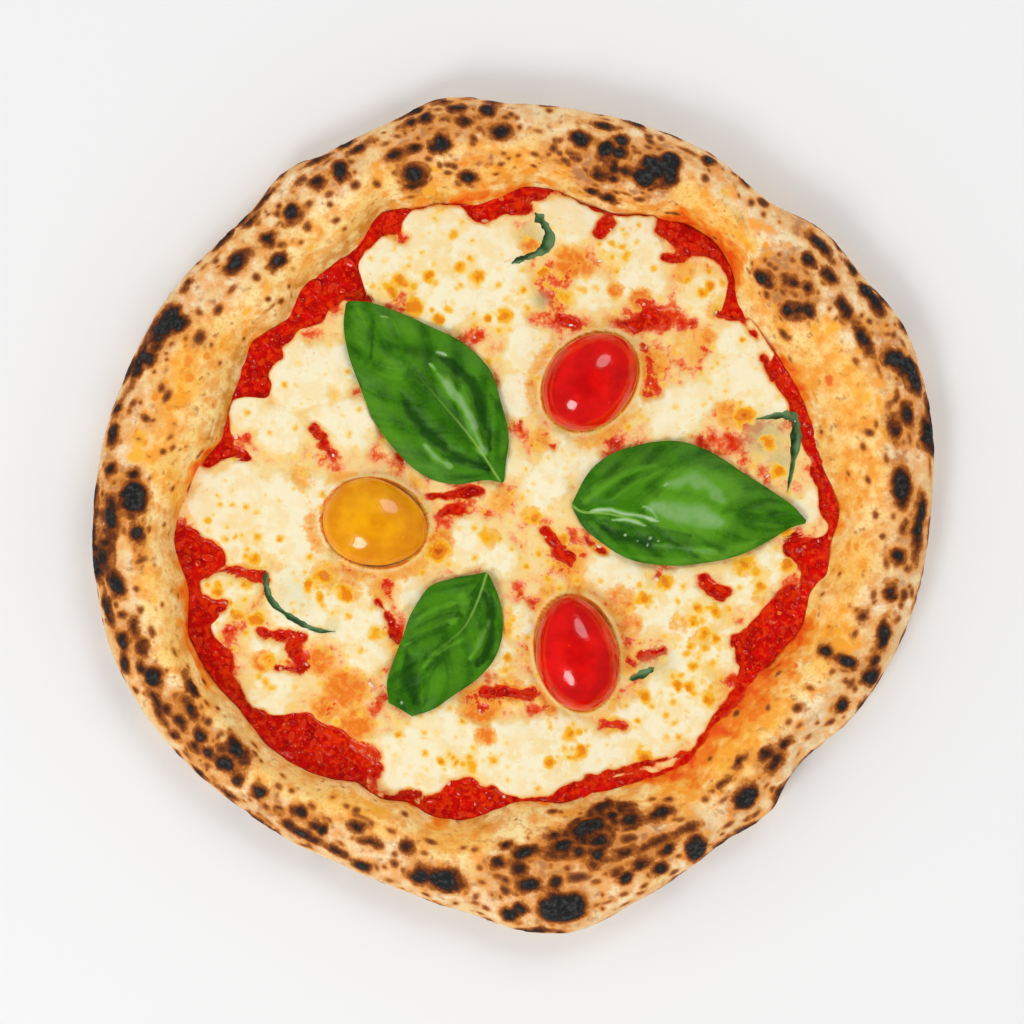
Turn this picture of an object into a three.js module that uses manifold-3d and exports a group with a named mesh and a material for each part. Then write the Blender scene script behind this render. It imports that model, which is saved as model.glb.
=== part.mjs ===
// A wood-fired margherita pizza: a puffed crust with tomato sauce, melted mozzarella, three half
// cherry tomatoes, three fresh basil leaves and four scraps of basil that were baked into the cheese.
// Millimetres, +Z up. The origin is on the table, under the middle of the pizza.

import * as THREE from "three";
import { mergeVertices } from "three/addons/utils/BufferGeometryUtils.js";
import Module from "manifold-3d";

const wasm = await Module();
wasm.setup();

// Heights of the layers.
const FLOOR_Z = 3.2; // top of the dough under the sauce
const GAP = 0.3; // between one layer and the next
const SAUCE_Z = 5; // top of the sauce
const CHEESE_Z = SAUCE_Z + GAP; // underside of the cheese

// The crust's outlines, each a closed curve of [degrees, millimetres from the middle].
const OUTER_EDGE = [
  [0, 138.1], [12, 141.8], [25, 143.6], [34, 140.2], [42, 139.4], [51, 133.7], [63, 136.4], [81, 135.8],
  [90, 136.2], [99, 140], [108, 136.6], [117, 135], [123, 137], [132, 133.1], [150, 135.8], [180, 139.2],
  [197, 140.8], [212, 137.8], [228, 132.6], [249, 129.2], [262, 132.4], [277, 139.4], [289, 133.8],
  [303, 129], [310, 129.8], [318, 125.5], [330, 130.8], [345, 135.8],
];
// Where the rim's inner wall meets the top of the sauce.
const INNER_EDGE = [
  [0, 107.3], [5, 105.3], [10, 102.8], [20, 102.6], [30, 101.6], [38, 101.3], [44, 103], [49, 109],
  [55, 112], [61, 111], [66, 108.6], [72, 105], [77, 105], [83, 108], [87, 108.8], [92, 106.2],
  [97, 104], [103, 105.6], [109, 107.4], [113, 109], [120, 103.6], [127, 102.2], [132, 103], [139, 99.4],
  [147, 103.6], [154, 101.6], [165, 100.2], [170, 103.6], [176, 107.4], [185, 113], [192, 111],
  [201, 114.8], [209, 113.5], [216, 111.4], [222, 111.6], [230, 109.6], [236, 105.8], [240, 102.6],
  [245, 103], [250, 101.2], [256, 103.6], [262, 101.6], [267, 97.5], [272, 94.6], [280, 96.4],
  [290, 96.3], [299, 98.4], [304, 100.2], [313, 96.8], [326, 96.4], [333, 99], [340, 101.8], [345, 101],
  [350, 105.2], [354, 104.8],
];
// The rim's crest: its height, its place as a share of the rim's width, and how gently the inner wall starts.
const CREST_HEIGHT = [
  [0, 18], [40, 20], [70, 21.5], [100, 21], [130, 19], [155, 20.5], [182, 22], [215, 19.5], [250, 18],
  [280, 21.5], [310, 18], [335, 18.5],
];
const CREST_PLACE = [
  [0, 0.56], [45, 0.5], [75, 0.46], [120, 0.5], [175, 0.44], [215, 0.32], [245, 0.36], [320, 0.58],
];
const INNER_SLOPE = [[0, 1.5], [60, 1.1], [110, 1.1], [160, 0.8], [190, 0.6], [235, 0.6], [300, 1.4]];

// Blisters that swelled on the rim in the oven: [degrees, distance from the middle, radius, height].
const BLISTERS = [
  [70, 122, 15, 2.6], [81, 124, 9, 1.6], [101, 129, 15, 2], [117, 124, 10, 1.6], [154, 129, 14, 2.2],
  [178, 127, 13, 2.4], [192, 132, 11, 1.6], [216, 126, 14, 1.8], [237, 122, 12, 1.6], [258, 122, 13, 1.8],
  [277, 129, 12, 2.4], [286, 109, 17, 2.6], [299, 122, 9, 1.8], [309, 118, 9, 1.4], [340, 121, 13, 1.8],
  [5, 123, 12, 1.6], [20, 133, 13, 2.2], [40, 121, 17, 2.4], [57, 122, 9, 1.2],
];
// The fold where the rim was pinched over itself.
const CREASE = { from: [57, 126], to: [47, 120], halfWidth: 3.5, depth: 2.2 };

// The melted cheese ends here, short of the crust where sauce lies bare.
const CHEESE_EDGE = [
  [0, 101.5], [10, 99], [20, 98.5], [28, 97.5], [34, 98], [41, 97.5], [44, 95.5], [49, 104], [60, 103.5],
  [65, 105.5], [72, 101], [78, 101.5], [84, 104.5], [90, 100], [96, 97.5], [102, 102], [108, 102.8],
  [114, 101], [120, 98.5], [124, 89], [134, 90], [142, 94], [154, 90.5], [159, 97.5], [166, 95],
  [172, 100], [180, 106], [187, 101], [194, 105.5], [198, 103], [203, 106], [207, 104.5], [212, 107.5],
  [218, 105.5], [224, 94.5], [232, 93], [238, 95.5], [243, 99], [254, 98.5], [260, 91.5], [270, 91],
  [282, 91.5], [296, 93.5], [304, 96], [316, 92.5], [323, 92], [330, 85], [338, 87.5], [345, 96.5],
  [352, 92.5], [356, 99],
];
const SAUCE_BORDER = 3.5; // of bare sauce that stays between the cheese and the crust
const CHEESE_THICKNESS = 2.4;
const CHEESE_EDGE_THICKNESS = 0.8;
const CHEESE_TAPER = 9; // how far in from its edge the cheese reaches its thickness
// Pieces of mozzarella that stayed thick when they melted: [x, y, radius, height].
const MELTS = [
  [-28, 84, 20, 1.6], [14, 92, 16, 1.4], [42, 84, 20, 1.5], [0, 68, 17, 1.2], [-78, 46, 18, 1.5],
  [-92, 6, 17, 1.6], [-70, -22, 18, 1.3], [-52, -36, 16, 1.5], [-12, -8, 15, 1.2], [4, 26, 16, 1.1],
  [80, 56, 16, 1.5], [88, 38, 15, 1.2], [34, 14, 15, 1.1], [60, -34, 18, 1.4], [60, -62, 18, 1.5],
  [-12, -80, 19, 1.6], [16, -84, 17, 1.5], [-86, -58, 13, 1.1],
];
// Gaps in the cheese where the sauce shows: [x, y, half length, half width, degrees].
const BARE_PATCHES = [
  [42, 60, 9, 5, 35], [-74, -44, 7, 4.5, -40], [68, -23, 6, 3, -40], [-8, -64, 6, 3.5, 20],
];

// Half cherry tomatoes, cut side down: place, half sizes, height over their widest level, taper and turn.
const TOMATOES = {
  red_tomato_upper: { x: 25.2, y: 44.1, length: 18.1, width: 14.5, height: 11.5, taper: 0.06, turn: 48 },
  red_tomato_lower: { x: 20.7, y: -45.6, length: 19.6, width: 13.9, height: 11.5, taper: 0.14, turn: 102 },
  yellow_tomato: { x: -46.1, y: -2.7, length: 17.9, width: 14.9, height: 9.5, taper: 0.12, turn: -14 },
};
const TOMATO_SEAT_Z = CHEESE_Z + 2.7; // the level of its widest section
const TOMATO_SUNK = 0.18; // its depth below that level, as a share of its height
const LIP_HEIGHT = 0.9; // of the cheese that closed round each tomato

// Fresh basil leaves. The blade is a list of [share of the length, width to the left, width to the right].
const LEAVES = {
  basil_leaf_left: {
    stem: [-3.6, 10.9], tip: [-55.1, 70.3], crown: 3.4, ripple: 0.7, waves: 2.5,
    blade: [
      [0, 0.5, 0.5], [0.05, 3.6, 4.6], [0.12, 12, 10.7], [0.25, 18.6, 16.4], [0.42, 20, 21.2],
      [0.55, 19, 20.2], [0.7, 15, 15.3], [0.85, 10.2, 9.8], [0.95, 5, 4.8], [1, 0.6, 0.6],
    ],
  },
  basil_leaf_right: {
    stem: [19.1, 3.3], tip: [96.4, -2.3], crown: 4.4, ripple: 0.5, waves: 2,
    blade: [
      [0, 0.5, 0.5], [0.05, 9.6, 6.5], [0.12, 16, 10.8], [0.25, 21, 16.2], [0.42, 23.6, 17.7],
      [0.56, 21.3, 16.3], [0.72, 14.8, 12.8], [0.85, 9.3, 7.1], [0.94, 5, 2.2], [1, 0.6, 0.5],
    ],
  },
  basil_leaf_lower: {
    stem: [-8.9, -19.1], tip: [-36.3, -65], crown: 2.8, ripple: 1.1, waves: 1.5,
    blade: [
      [0, 0.5, 0.5], [0.05, 4.6, 3.4], [0.12, 9, 7.9], [0.28, 14.8, 14.4], [0.44, 16.6, 14.7],
      [0.6, 15, 13.2], [0.76, 11.1, 11.7], [0.9, 7.6, 9.8], [1, 3, 6],
    ],
  },
};
const LEAF_THICKNESS = 0.6;
const LEAF_REST = 0.9; // height of a leaf's margin over the cheese, to the middle of its thickness

// Basil that was baked into the cheese and shows only along its edge, as an arc round [x, y].
const BAKED_BASIL = {
  baked_basil_top: { x: 0.5, y: 94, radius: 12, from: -80, to: 22, width: 3.2 },
  baked_basil_right: { x: 79, y: 20, radius: 12, from: -40, to: 78, width: 2.6 },
  baked_basil_left: { x: -60, y: -17, radius: 22, from: 176, to: 248, width: 2.2 },
  baked_basil_lower: { x: 42, y: -57, radius: 6, from: 50, to: 130, width: 3 },
};
const BAKED_BASIL_SUNK = 0.3; // depth of its middle below the cheese's surface

const SECTORS = 96; // round the pizza

const { clamp, lerp, smoothstep } = THREE.MathUtils;
const radians = THREE.MathUtils.degToRad;

// A smooth curve through knots of [place, value] with no overshoot. With a period it closes on itself.
function smoothCurve(knots, period = 0) {
  const closed = period > 0;
  const last = closed ? knots.length - 1 : knots.length - 2;
  const spans = [];
  const rises = [];
  for (let i = 0; i <= last; i += 1) {
    const [place, value] = knots[i];
    const [nextPlace, nextValue] = knots[(i + 1) % knots.length];
    spans.push(nextPlace > place ? nextPlace - place : nextPlace + period - place);
    rises.push((nextValue - value) / spans[i]);
  }
  const slopes = knots.map((_, i) => {
    const before = rises[closed ? (i + last) % knots.length : Math.max(i - 1, 0)];
    const after = rises[Math.min(i, last)];
    if (before * after <= 0) return 0;
    const steepest = 3 * Math.min(Math.abs(before), Math.abs(after));
    return clamp((before + after) / 2, -steepest, steepest);
  });
  return (place) => {
    const at = closed ? THREE.MathUtils.euclideanModulo(place, period) : place;
    let i = last;
    while (i > 0 && knots[i][0] > at) i -= 1;
    const next = (i + 1) % knots.length;
    const u = (at - knots[i][0]) / spans[i];
    return (
      (2 * u ** 3 - 3 * u ** 2 + 1) * knots[i][1] +
      (u ** 3 - 2 * u ** 2 + u) * slopes[i] * spans[i] +
      (3 * u ** 2 - 2 * u ** 3) * knots[next][1] +
      (u ** 3 - u ** 2) * slopes[next] * spans[i]
    );
  };
}

// The same for knots that go once round the pizza, read at an angle in radians.
function roundCurve(knots) {
  const curve = smoothCurve(knots, 360);
  return (angle) => curve(THREE.MathUtils.radToDeg(angle));
}

const outerEdge = roundCurve(OUTER_EDGE);
const innerEdge = roundCurve(INNER_EDGE);
const cheeseReach = roundCurve(CHEESE_EDGE);
const cheeseEdge = (angle) => Math.min(cheeseReach(angle), innerEdge(angle) - SAUCE_BORDER);

// A round mound that falls smoothly to nothing at its radius.
function mound(distance, radius) {
  const share = clamp(distance / radius, 0, 1);
  return (1 - share ** 2) ** 2;
}

// A lathe whose section changes with the angle. Every section has the same number of [radius, height] points.
function unevenLathe(sectionAt) {
  const count = sectionAt(0).length;
  const evenSection = Array.from({ length: count }, (_, i) => new THREE.Vector2(i, i));
  const geometry = new THREE.LatheGeometry(evenSection, SECTORS);
  for (let sector = 0; sector <= SECTORS; sector += 1) {
    const angle = (2 * Math.PI * (sector % SECTORS)) / SECTORS;
    sectionAt(angle).forEach(([radius, height], i) => {
      const vertex = sector * count + i;
      geometry.attributes.position.setXYZ(vertex, radius * Math.cos(angle), radius * Math.sin(angle), height);
    });
  }
  return geometry;
}

function solidOf(geometry) {
  const bare = geometry.clone();
  bare.deleteAttribute("normal");
  bare.deleteAttribute("uv");
  const merged = mergeVertices(bare, 1e-4);
  const vertProperties = merged.attributes.position.array;
  const triVerts = new Uint32Array(merged.index.array);
  return new wasm.Manifold(new wasm.Mesh({ numProp: 3, vertProperties, triVerts }));
}

function geometryOf(solid) {
  const mesh = solid.getMesh();
  const geometry = new THREE.BufferGeometry();
  geometry.setAttribute("position", new THREE.BufferAttribute(mesh.vertProperties, 3));
  geometry.setIndex(new THREE.BufferAttribute(mesh.triVerts, 1));
  return geometry;
}

// ---- Crust: one piece of dough, a thin floor inside a puffed rim ----

const WIDEST_SHARE = 0.42; // height of the rim's widest point, as a share of its crest
const FOOT_INSET = 9; // how far in from its widest point the rim leaves the table
const INNER_STEPS = 7;
const OUTER_STEPS = 7;
const UNDER_STEPS = 4;

const crestHeight = roundCurve(CREST_HEIGHT);
const crestPlace = roundCurve(CREST_PLACE);
const innerSlope = roundCurve(INNER_SLOPE);

// The foot of the inner wall, so placed that the wall meets the top of the sauce on INNER_EDGE.
function innerFoot(angle) {
  const climb = (SAUCE_Z - FLOOR_Z) / (crestHeight(angle) - FLOOR_Z);
  const wallShare = (Math.asin(climb ** (1 / innerSlope(angle))) * 2) / Math.PI;
  const rimShare = wallShare * crestPlace(angle);
  return (innerEdge(angle) - rimShare * outerEdge(angle)) / (1 - rimShare);
}

const atDegrees = ([degrees, distance]) =>
  new THREE.Vector2(distance, 0).rotateAround(new THREE.Vector2(), radians(degrees));

function blisterHeight(point) {
  const heights = BLISTERS.map(([degrees, distance, radius, height]) => {
    return height * mound(point.distanceTo(atDegrees([degrees, distance])), radius);
  });
  return Math.max(...heights);
}

function creaseDepth(point) {
  const start = atDegrees(CREASE.from);
  const along = atDegrees(CREASE.to).sub(start);
  const share = clamp(point.clone().sub(start).dot(along) / along.lengthSq(), 0, 1);
  return CREASE.depth * mound(point.distanceTo(start.addScaledVector(along, share)), CREASE.halfWidth);
}

// The rim's skin at one angle, from the dough's floor over the crest and down to the table.
function rimSection(angle) {
  const inner = innerFoot(angle);
  const outer = outerEdge(angle);
  const crest = lerp(inner, outer, crestPlace(angle));
  const top = crestHeight(angle);
  const widest = top * WIDEST_SHARE;
  const upper = [];
  for (let i = 0; i < INNER_STEPS; i += 1) {
    const share = i / INNER_STEPS;
    const climb = Math.sin((Math.PI / 2) * share) ** innerSlope(angle);
    upper.push([lerp(inner, crest, share), lerp(FLOOR_Z, top, climb), share]);
  }
  for (let i = 0; i <= OUTER_STEPS; i += 1) {
    const turn = (Math.PI / 2) * (i / OUTER_STEPS);
    upper.push([lerp(crest, outer, Math.sin(turn)), lerp(widest, top, Math.cos(turn)), Math.cos(turn)]);
  }
  const swollen = upper.map(([radius, height, share]) => {
    const point = new THREE.Vector2(radius, 0).rotateAround(new THREE.Vector2(), angle);
    return [radius, height + share * (blisterHeight(point) - creaseDepth(point))];
  });
  const under = [];
  for (let i = 1; i <= UNDER_STEPS; i += 1) {
    const turn = (Math.PI / 2) * (i / UNDER_STEPS);
    under.push([outer - FOOT_INSET * (1 - Math.cos(turn)), widest * (1 - Math.sin(turn))]);
  }
  return [...swollen, ...under];
}

function crustGeometry() {
  return unevenLathe((angle) => {
    const middle = innerFoot(angle) / 2;
    return [[0, FLOOR_Z], [middle, FLOOR_Z], ...rimSection(angle), [middle, 0], [0, 0]].reverse();
  });
}

// ---- Tomato sauce: a thin layer on the dough's floor, lumpy where it lies bare along the crust ----

const WALL_GAP = 0.7; // between the sauce and the crust's inner wall, measured level
const SAUCE_LIP = 0.8; // width of the sauce's rounded edge

function lumpHeight(angle) {
  return 0.45 * Math.sin(13 * angle) + 0.3 * Math.sin(29 * angle + 1);
}

function sauceGeometry() {
  return unevenLathe((angle) => {
    const covered = cheeseEdge(angle);
    const bare = innerFoot(angle) - covered;
    const lumps = clamp(bare / 8, 0, 1);
    const foot = innerFoot(angle) - WALL_GAP;
    const [wallRadius, wallHeight] = rimSection(angle)[1];
    const lipZ = Math.min(wallHeight, SAUCE_Z);
    const lip = lerp(foot, wallRadius - WALL_GAP, (lipZ - FLOOR_Z) / (wallHeight - FLOOR_Z));
    return [
      [0, FLOOR_Z + GAP],
      [foot / 2, FLOOR_Z + GAP],
      [foot, FLOOR_Z + GAP],
      [lip, lipZ - GAP],
      [lip - SAUCE_LIP, SAUCE_Z - GAP / 2],
      [covered + bare * 0.55, SAUCE_Z + lumps * lumpHeight(angle + 1)],
      [covered + bare * 0.28, SAUCE_Z + lumps * lumpHeight(angle)],
      [covered, SAUCE_Z],
      [covered * 0.6, SAUCE_Z],
      [0, SAUCE_Z],
    ];
  });
}

// ---- Mozzarella: one melted sheet, thick where each piece lay and thin at its edge ----

const CHEESE_RINGS = [0.14, 0.28, 0.41, 0.53, 0.64, 0.74, 0.83, 0.91, 0.965, 1];

// 1 on a tomato's outline at its widest level, less inside and more outside.
function tomatoReach(tomato, x, y) {
  const local = new THREE.Vector2(x - tomato.x, y - tomato.y);
  local.rotateAround(new THREE.Vector2(), -radians(tomato.turn));
  return Math.hypot(local.x / tomato.length, local.y / tomato.width);
}

function cheeseTop(x, y) {
  const fromEdge = cheeseEdge(Math.atan2(y, x)) - Math.hypot(x, y);
  const melts = MELTS.map(([mx, my, radius, height]) => height * mound(Math.hypot(x - mx, y - my), radius));
  const reaches = Object.values(TOMATOES).map((tomato) => tomatoReach(tomato, x, y));
  const lip = LIP_HEIGHT * mound(Math.abs(Math.min(...reaches) - 1.05), 0.5);
  const full = CHEESE_THICKNESS + Math.max(...melts) + lip;
  return CHEESE_Z + lerp(CHEESE_EDGE_THICKNESS, full, smoothstep(fromEdge, 0, CHEESE_TAPER));
}

function cheeseSheet() {
  return unevenLathe((angle) => {
    const edge = cheeseEdge(angle);
    const top = CHEESE_RINGS.map((share) => {
      const radius = edge * share;
      return [radius, cheeseTop(radius * Math.cos(angle), radius * Math.sin(angle))];
    });
    return [[0, CHEESE_Z], [edge * 0.6, CHEESE_Z], [edge, CHEESE_Z], ...top.reverse(), [0, cheeseTop(0, 0)]];
  });
}

function barePatch([x, y, halfLength, halfWidth, degrees]) {
  const height = 12;
  const below = 1;
  const geometry = new THREE.CylinderGeometry(1, 0.8, height, 14);
  geometry.rotateX(Math.PI / 2);
  geometry.scale(halfLength, halfWidth, 1);
  geometry.rotateZ(radians(degrees));
  return geometry.translate(x, y, CHEESE_Z + height / 2 - below);
}

function cheeseGeometry() {
  const cuts = [
    ...Object.values(TOMATOES).map((tomato) => tomatoGeometry(tomato, GAP)),
    ...Object.values(BAKED_BASIL).map(bakedBasilGroove),
    ...BARE_PATCHES.map(barePatch),
  ];
  const cheese = cuts.reduce((rest, cut) => rest.subtract(solidOf(cut)), solidOf(cheeseSheet()));
  return geometryOf(cheese);
}

// ---- Half cherry tomatoes: domes pressed a little way into the cheese ----

function tomatoGeometry(tomato, margin = 0) {
  const geometry = new THREE.SphereGeometry(1, 22, 12);
  geometry.rotateX(Math.PI / 2);
  const position = geometry.attributes.position;
  for (let i = 0; i < position.count; i += 1) {
    const [x, y, z] = [position.getX(i), position.getY(i), position.getZ(i)];
    const rise = z > 0 ? tomato.height : tomato.height * TOMATO_SUNK;
    const halfWidth = tomato.width * (1 - tomato.taper * x);
    position.setXYZ(i, x * (tomato.length + margin), y * (halfWidth + margin), z * (rise + margin));
  }
  geometry.rotateZ(radians(tomato.turn));
  return geometry.translate(tomato.x, tomato.y, TOMATO_SEAT_Z);
}

// ---- Basil: thin wavy sheets, both faces split into triangles alike ----

// A closed sheet between two copies of a grid, where pointAt(u, v) is a point for u and v from 0 to 1.
function thinSheet(pointAt, columns, rows, above, below) {
  const positions = [];
  const index = [];
  const across = rows + 1;
  const layer = (columns + 1) * across;
  for (const offset of [above, -below]) {
    for (let i = 0; i <= columns; i += 1) {
      for (let j = 0; j <= rows; j += 1) {
        const [x, y, z] = pointAt(i / columns, j / rows);
        positions.push(x, y, z + offset);
      }
    }
  }
  for (let i = 0; i < columns; i += 1) {
    for (let j = 0; j < rows; j += 1) {
      const a = i * across + j;
      const b = a + across;
      const [c, d] = [b + 1, a + 1];
      index.push(a, b, c, a, c, d);
      index.push(layer + a, layer + c, layer + b, layer + a, layer + d, layer + c);
    }
  }
  const wall = (a, b) => index.push(a, b, layer + b, a, layer + b, layer + a);
  for (let i = 0; i < columns; i += 1) {
    wall((i + 1) * across, i * across);
    wall(i * across + rows, (i + 1) * across + rows);
  }
  for (let j = 0; j < rows; j += 1) {
    wall(j, j + 1);
    wall(columns * across + j + 1, columns * across + j);
  }
  const geometry = new THREE.BufferGeometry();
  geometry.setAttribute("position", new THREE.Float32BufferAttribute(positions, 3));
  return geometry.setIndex(index);
}

const LEAF_COLUMNS = 16; // along the leaf
const LEAF_ROWS = 6; // across it, an even number, so that one line of corners follows the midrib
const MIDRIB_DEPTH = 0.7;

function leafGeometry(leaf) {
  const stem = new THREE.Vector2(...leaf.stem);
  const along = new THREE.Vector2(...leaf.tip).sub(stem);
  const toLeft = new THREE.Vector2(-along.y, along.x).normalize();
  const leftWidth = smoothCurve(leaf.blade.map(([share, left]) => [share, left]));
  const rightWidth = smoothCurve(leaf.blade.map(([share, , right]) => [share, right]));
  const pointAt = (u, v) => {
    const side = 2 * v - 1;
    const offset = side * (side > 0 ? leftWidth(u) : rightWidth(u));
    const x = stem.x + along.x * u + toLeft.x * offset;
    const y = stem.y + along.y * u + toLeft.y * offset;
    const crown = leaf.crown * Math.sin(Math.PI * u) * (1 - side ** 2);
    const ripple = leaf.ripple * side ** 2 * (1 + Math.sin(2 * Math.PI * leaf.waves * u + 2 * side));
    const midrib = side === 0 ? MIDRIB_DEPTH * Math.sin(Math.PI * u) : 0;
    return [x, y, cheeseTop(x, y) + LEAF_REST + crown + ripple - midrib];
  };
  return thinSheet(pointAt, LEAF_COLUMNS, LEAF_ROWS, LEAF_THICKNESS / 2, LEAF_THICKNESS / 2);
}

function bakedBasilSheet(arc, margin, above, below) {
  const pointAt = (u, v) => {
    const angle = radians(lerp(arc.from, arc.to, u));
    const halfWidth = (arc.width / 2) * (0.35 + 0.65 * Math.sin(Math.PI * u)) + margin;
    const radius = arc.radius + (1 - 2 * v) * halfWidth;
    const x = arc.x + radius * Math.cos(angle);
    const y = arc.y + radius * Math.sin(angle);
    return [x, y, cheeseTop(x, y) - BAKED_BASIL_SUNK];
  };
  return thinSheet(pointAt, 8, 2, above, below);
}

const bakedBasilGeometry = (arc) => bakedBasilSheet(arc, 0, LEAF_THICKNESS / 2, LEAF_THICKNESS / 2);

// The slot in the cheese that a baked piece lies in, open above.
function bakedBasilGroove(arc) {
  const wider = { ...arc, from: arc.from - 3, to: arc.to + 3 };
  return bakedBasilSheet(wider, GAP, 5, LEAF_THICKNESS / 2 + GAP);
}

// ---- Assembly ----

const finish = (color, roughness) => new THREE.MeshStandardMaterial({ color, roughness, metalness: 0 });
const BAKED_DOUGH = finish(0xdcb27c, 0.85);
const SAUCE = finish(0xc21807, 0.25);
const MELTED_CHEESE = finish(0xf6ecc4, 0.35);
const RED_SKIN = finish(0xd80e05, 0.12);
const YELLOW_SKIN = finish(0xf29a07, 0.15);
const FRESH_BASIL = finish(0x2f7a14, 0.4);
const DARK_BASIL = finish(0x1f3d16, 0.5);

const pizza = new THREE.Group();

function add(name, geometry, material) {
  const mesh = new THREE.Mesh(geometry, material);
  mesh.name = name;
  pizza.add(mesh);
}

add("crust", crustGeometry(), BAKED_DOUGH);
add("tomato_sauce", sauceGeometry(), SAUCE);
add("mozzarella", cheeseGeometry(), MELTED_CHEESE);
for (const [name, tomato] of Object.entries(TOMATOES)) {
  add(name, tomatoGeometry(tomato), name.startsWith("red") ? RED_SKIN : YELLOW_SKIN);
}
for (const [name, leaf] of Object.entries(LEAVES)) add(name, leafGeometry(leaf), FRESH_BASIL);
for (const [name, arc] of Object.entries(BAKED_BASIL)) add(name, bakedBasilGeometry(arc), DARK_BASIL);

export default pizza;
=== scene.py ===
import math

import bpy
import numpy as np
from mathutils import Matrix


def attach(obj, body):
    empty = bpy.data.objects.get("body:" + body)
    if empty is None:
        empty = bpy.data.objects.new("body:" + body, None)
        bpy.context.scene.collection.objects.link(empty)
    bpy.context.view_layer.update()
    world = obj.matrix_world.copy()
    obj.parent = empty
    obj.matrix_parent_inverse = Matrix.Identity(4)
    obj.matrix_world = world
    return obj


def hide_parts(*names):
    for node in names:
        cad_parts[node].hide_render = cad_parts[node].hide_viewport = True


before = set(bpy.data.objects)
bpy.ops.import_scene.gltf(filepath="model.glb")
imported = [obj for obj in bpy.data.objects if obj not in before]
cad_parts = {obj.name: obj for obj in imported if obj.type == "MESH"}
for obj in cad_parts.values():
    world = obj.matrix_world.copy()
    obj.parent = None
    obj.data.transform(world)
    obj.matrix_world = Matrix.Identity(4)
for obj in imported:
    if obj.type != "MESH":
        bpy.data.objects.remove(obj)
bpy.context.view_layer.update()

# ---- Crust ----
# One piece of soft wheat dough, pressed flat in the middle and left thick at the rim. In a wood-fired oven
# the rim puffs up, blisters, and chars wherever a bubble rises towards the flame. Sizes are in millimetres.

FLOOR_Z = 3.2
SAUCE_Z = 5
RIM_WIDEST_SHARE = 0.42
RIM_FOOT_INSET = 9
HIGHEST = 23.7
OUTER_EDGE = [
    (0, 138.1), (12, 141.8), (25, 143.6), (34, 140.2), (42, 139.4), (51, 133.7), (63, 136.4), (81, 135.8),
    (90, 136.2), (99, 140), (108, 136.6), (117, 135), (123, 137), (132, 133.1), (150, 135.8), (180, 139.2),
    (197, 140.8), (212, 137.8), (228, 132.6), (249, 129.2), (262, 132.4), (277, 139.4), (289, 133.8),
    (303, 129), (310, 129.8), (318, 125.5), (330, 130.8), (345, 135.8),
]
# Where the rim's inner wall meets the top of the sauce.
INNER_EDGE = [
    (0, 107.3), (5, 105.3), (10, 102.8), (20, 102.6), (30, 101.6), (38, 101.3), (44, 103), (49, 109),
    (55, 112), (61, 111), (66, 108.6), (72, 105), (77, 105), (83, 108), (87, 108.8), (92, 106.2),
    (97, 104), (103, 105.6), (109, 107.4), (113, 109), (120, 103.6), (127, 102.2), (132, 103), (139, 99.4),
    (147, 103.6), (154, 101.6), (165, 100.2), (170, 103.6), (176, 107.4), (185, 113), (192, 111),
    (201, 114.8), (209, 113.5), (216, 111.4), (222, 111.6), (230, 109.6), (236, 105.8), (240, 102.6),
    (245, 103), (250, 101.2), (256, 103.6), (262, 101.6), (267, 97.5), (272, 94.6), (280, 96.4),
    (290, 96.3), (299, 98.4), (304, 100.2), (313, 96.8), (326, 96.4), (333, 99), (340, 101.8), (345, 101),
    (350, 105.2), (354, 104.8),
]
CREST_HEIGHT = [
    (0, 18), (40, 20), (70, 21.5), (100, 21), (130, 19), (155, 20.5), (182, 22), (215, 19.5), (250, 18),
    (280, 21.5), (310, 18), (335, 18.5),
]
CREST_PLACE = [
    (0, 0.56), (45, 0.5), (75, 0.46), (120, 0.5), (175, 0.44), (215, 0.32), (245, 0.36), (320, 0.58),
]
INNER_SLOPE = [(0, 1.5), (60, 1.1), (110, 1.1), (160, 0.8), (190, 0.6), (235, 0.6), (300, 1.4)]
# Big blisters: degrees round the rim, distance from the middle, radius, height.
BLISTERS = [
    (70, 122, 15, 2.6), (81, 124, 9, 1.6), (101, 129, 15, 2), (117, 124, 10, 1.6), (154, 129, 14, 2.2),
    (178, 127, 13, 2.4), (192, 132, 11, 1.6), (216, 126, 14, 1.8), (237, 122, 12, 1.6), (258, 122, 13, 1.8),
    (277, 129, 12, 2.4), (286, 109, 17, 2.6), (299, 122, 9, 1.8), (309, 118, 9, 1.4), (340, 121, 13, 1.8),
    (5, 123, 12, 1.6), (20, 133, 13, 2.2), (40, 121, 17, 2.4), (57, 122, 9, 1.2),
]
# Creases where the rim was pinched over: from and to as degrees and distance, half width, depth.
CREASES = [
    (57, 126, 47, 120, 3.5, 2.2), (55, 131, 52, 122, 1.5, 1.2), (300, 128, 304, 118, 2, 1),
    (327, 127, 322, 119, 1.6, 0.8), (262, 131, 266, 126, 1.6, 0.8), (135, 131, 139, 126, 1.5, 0.6),
]
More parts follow.
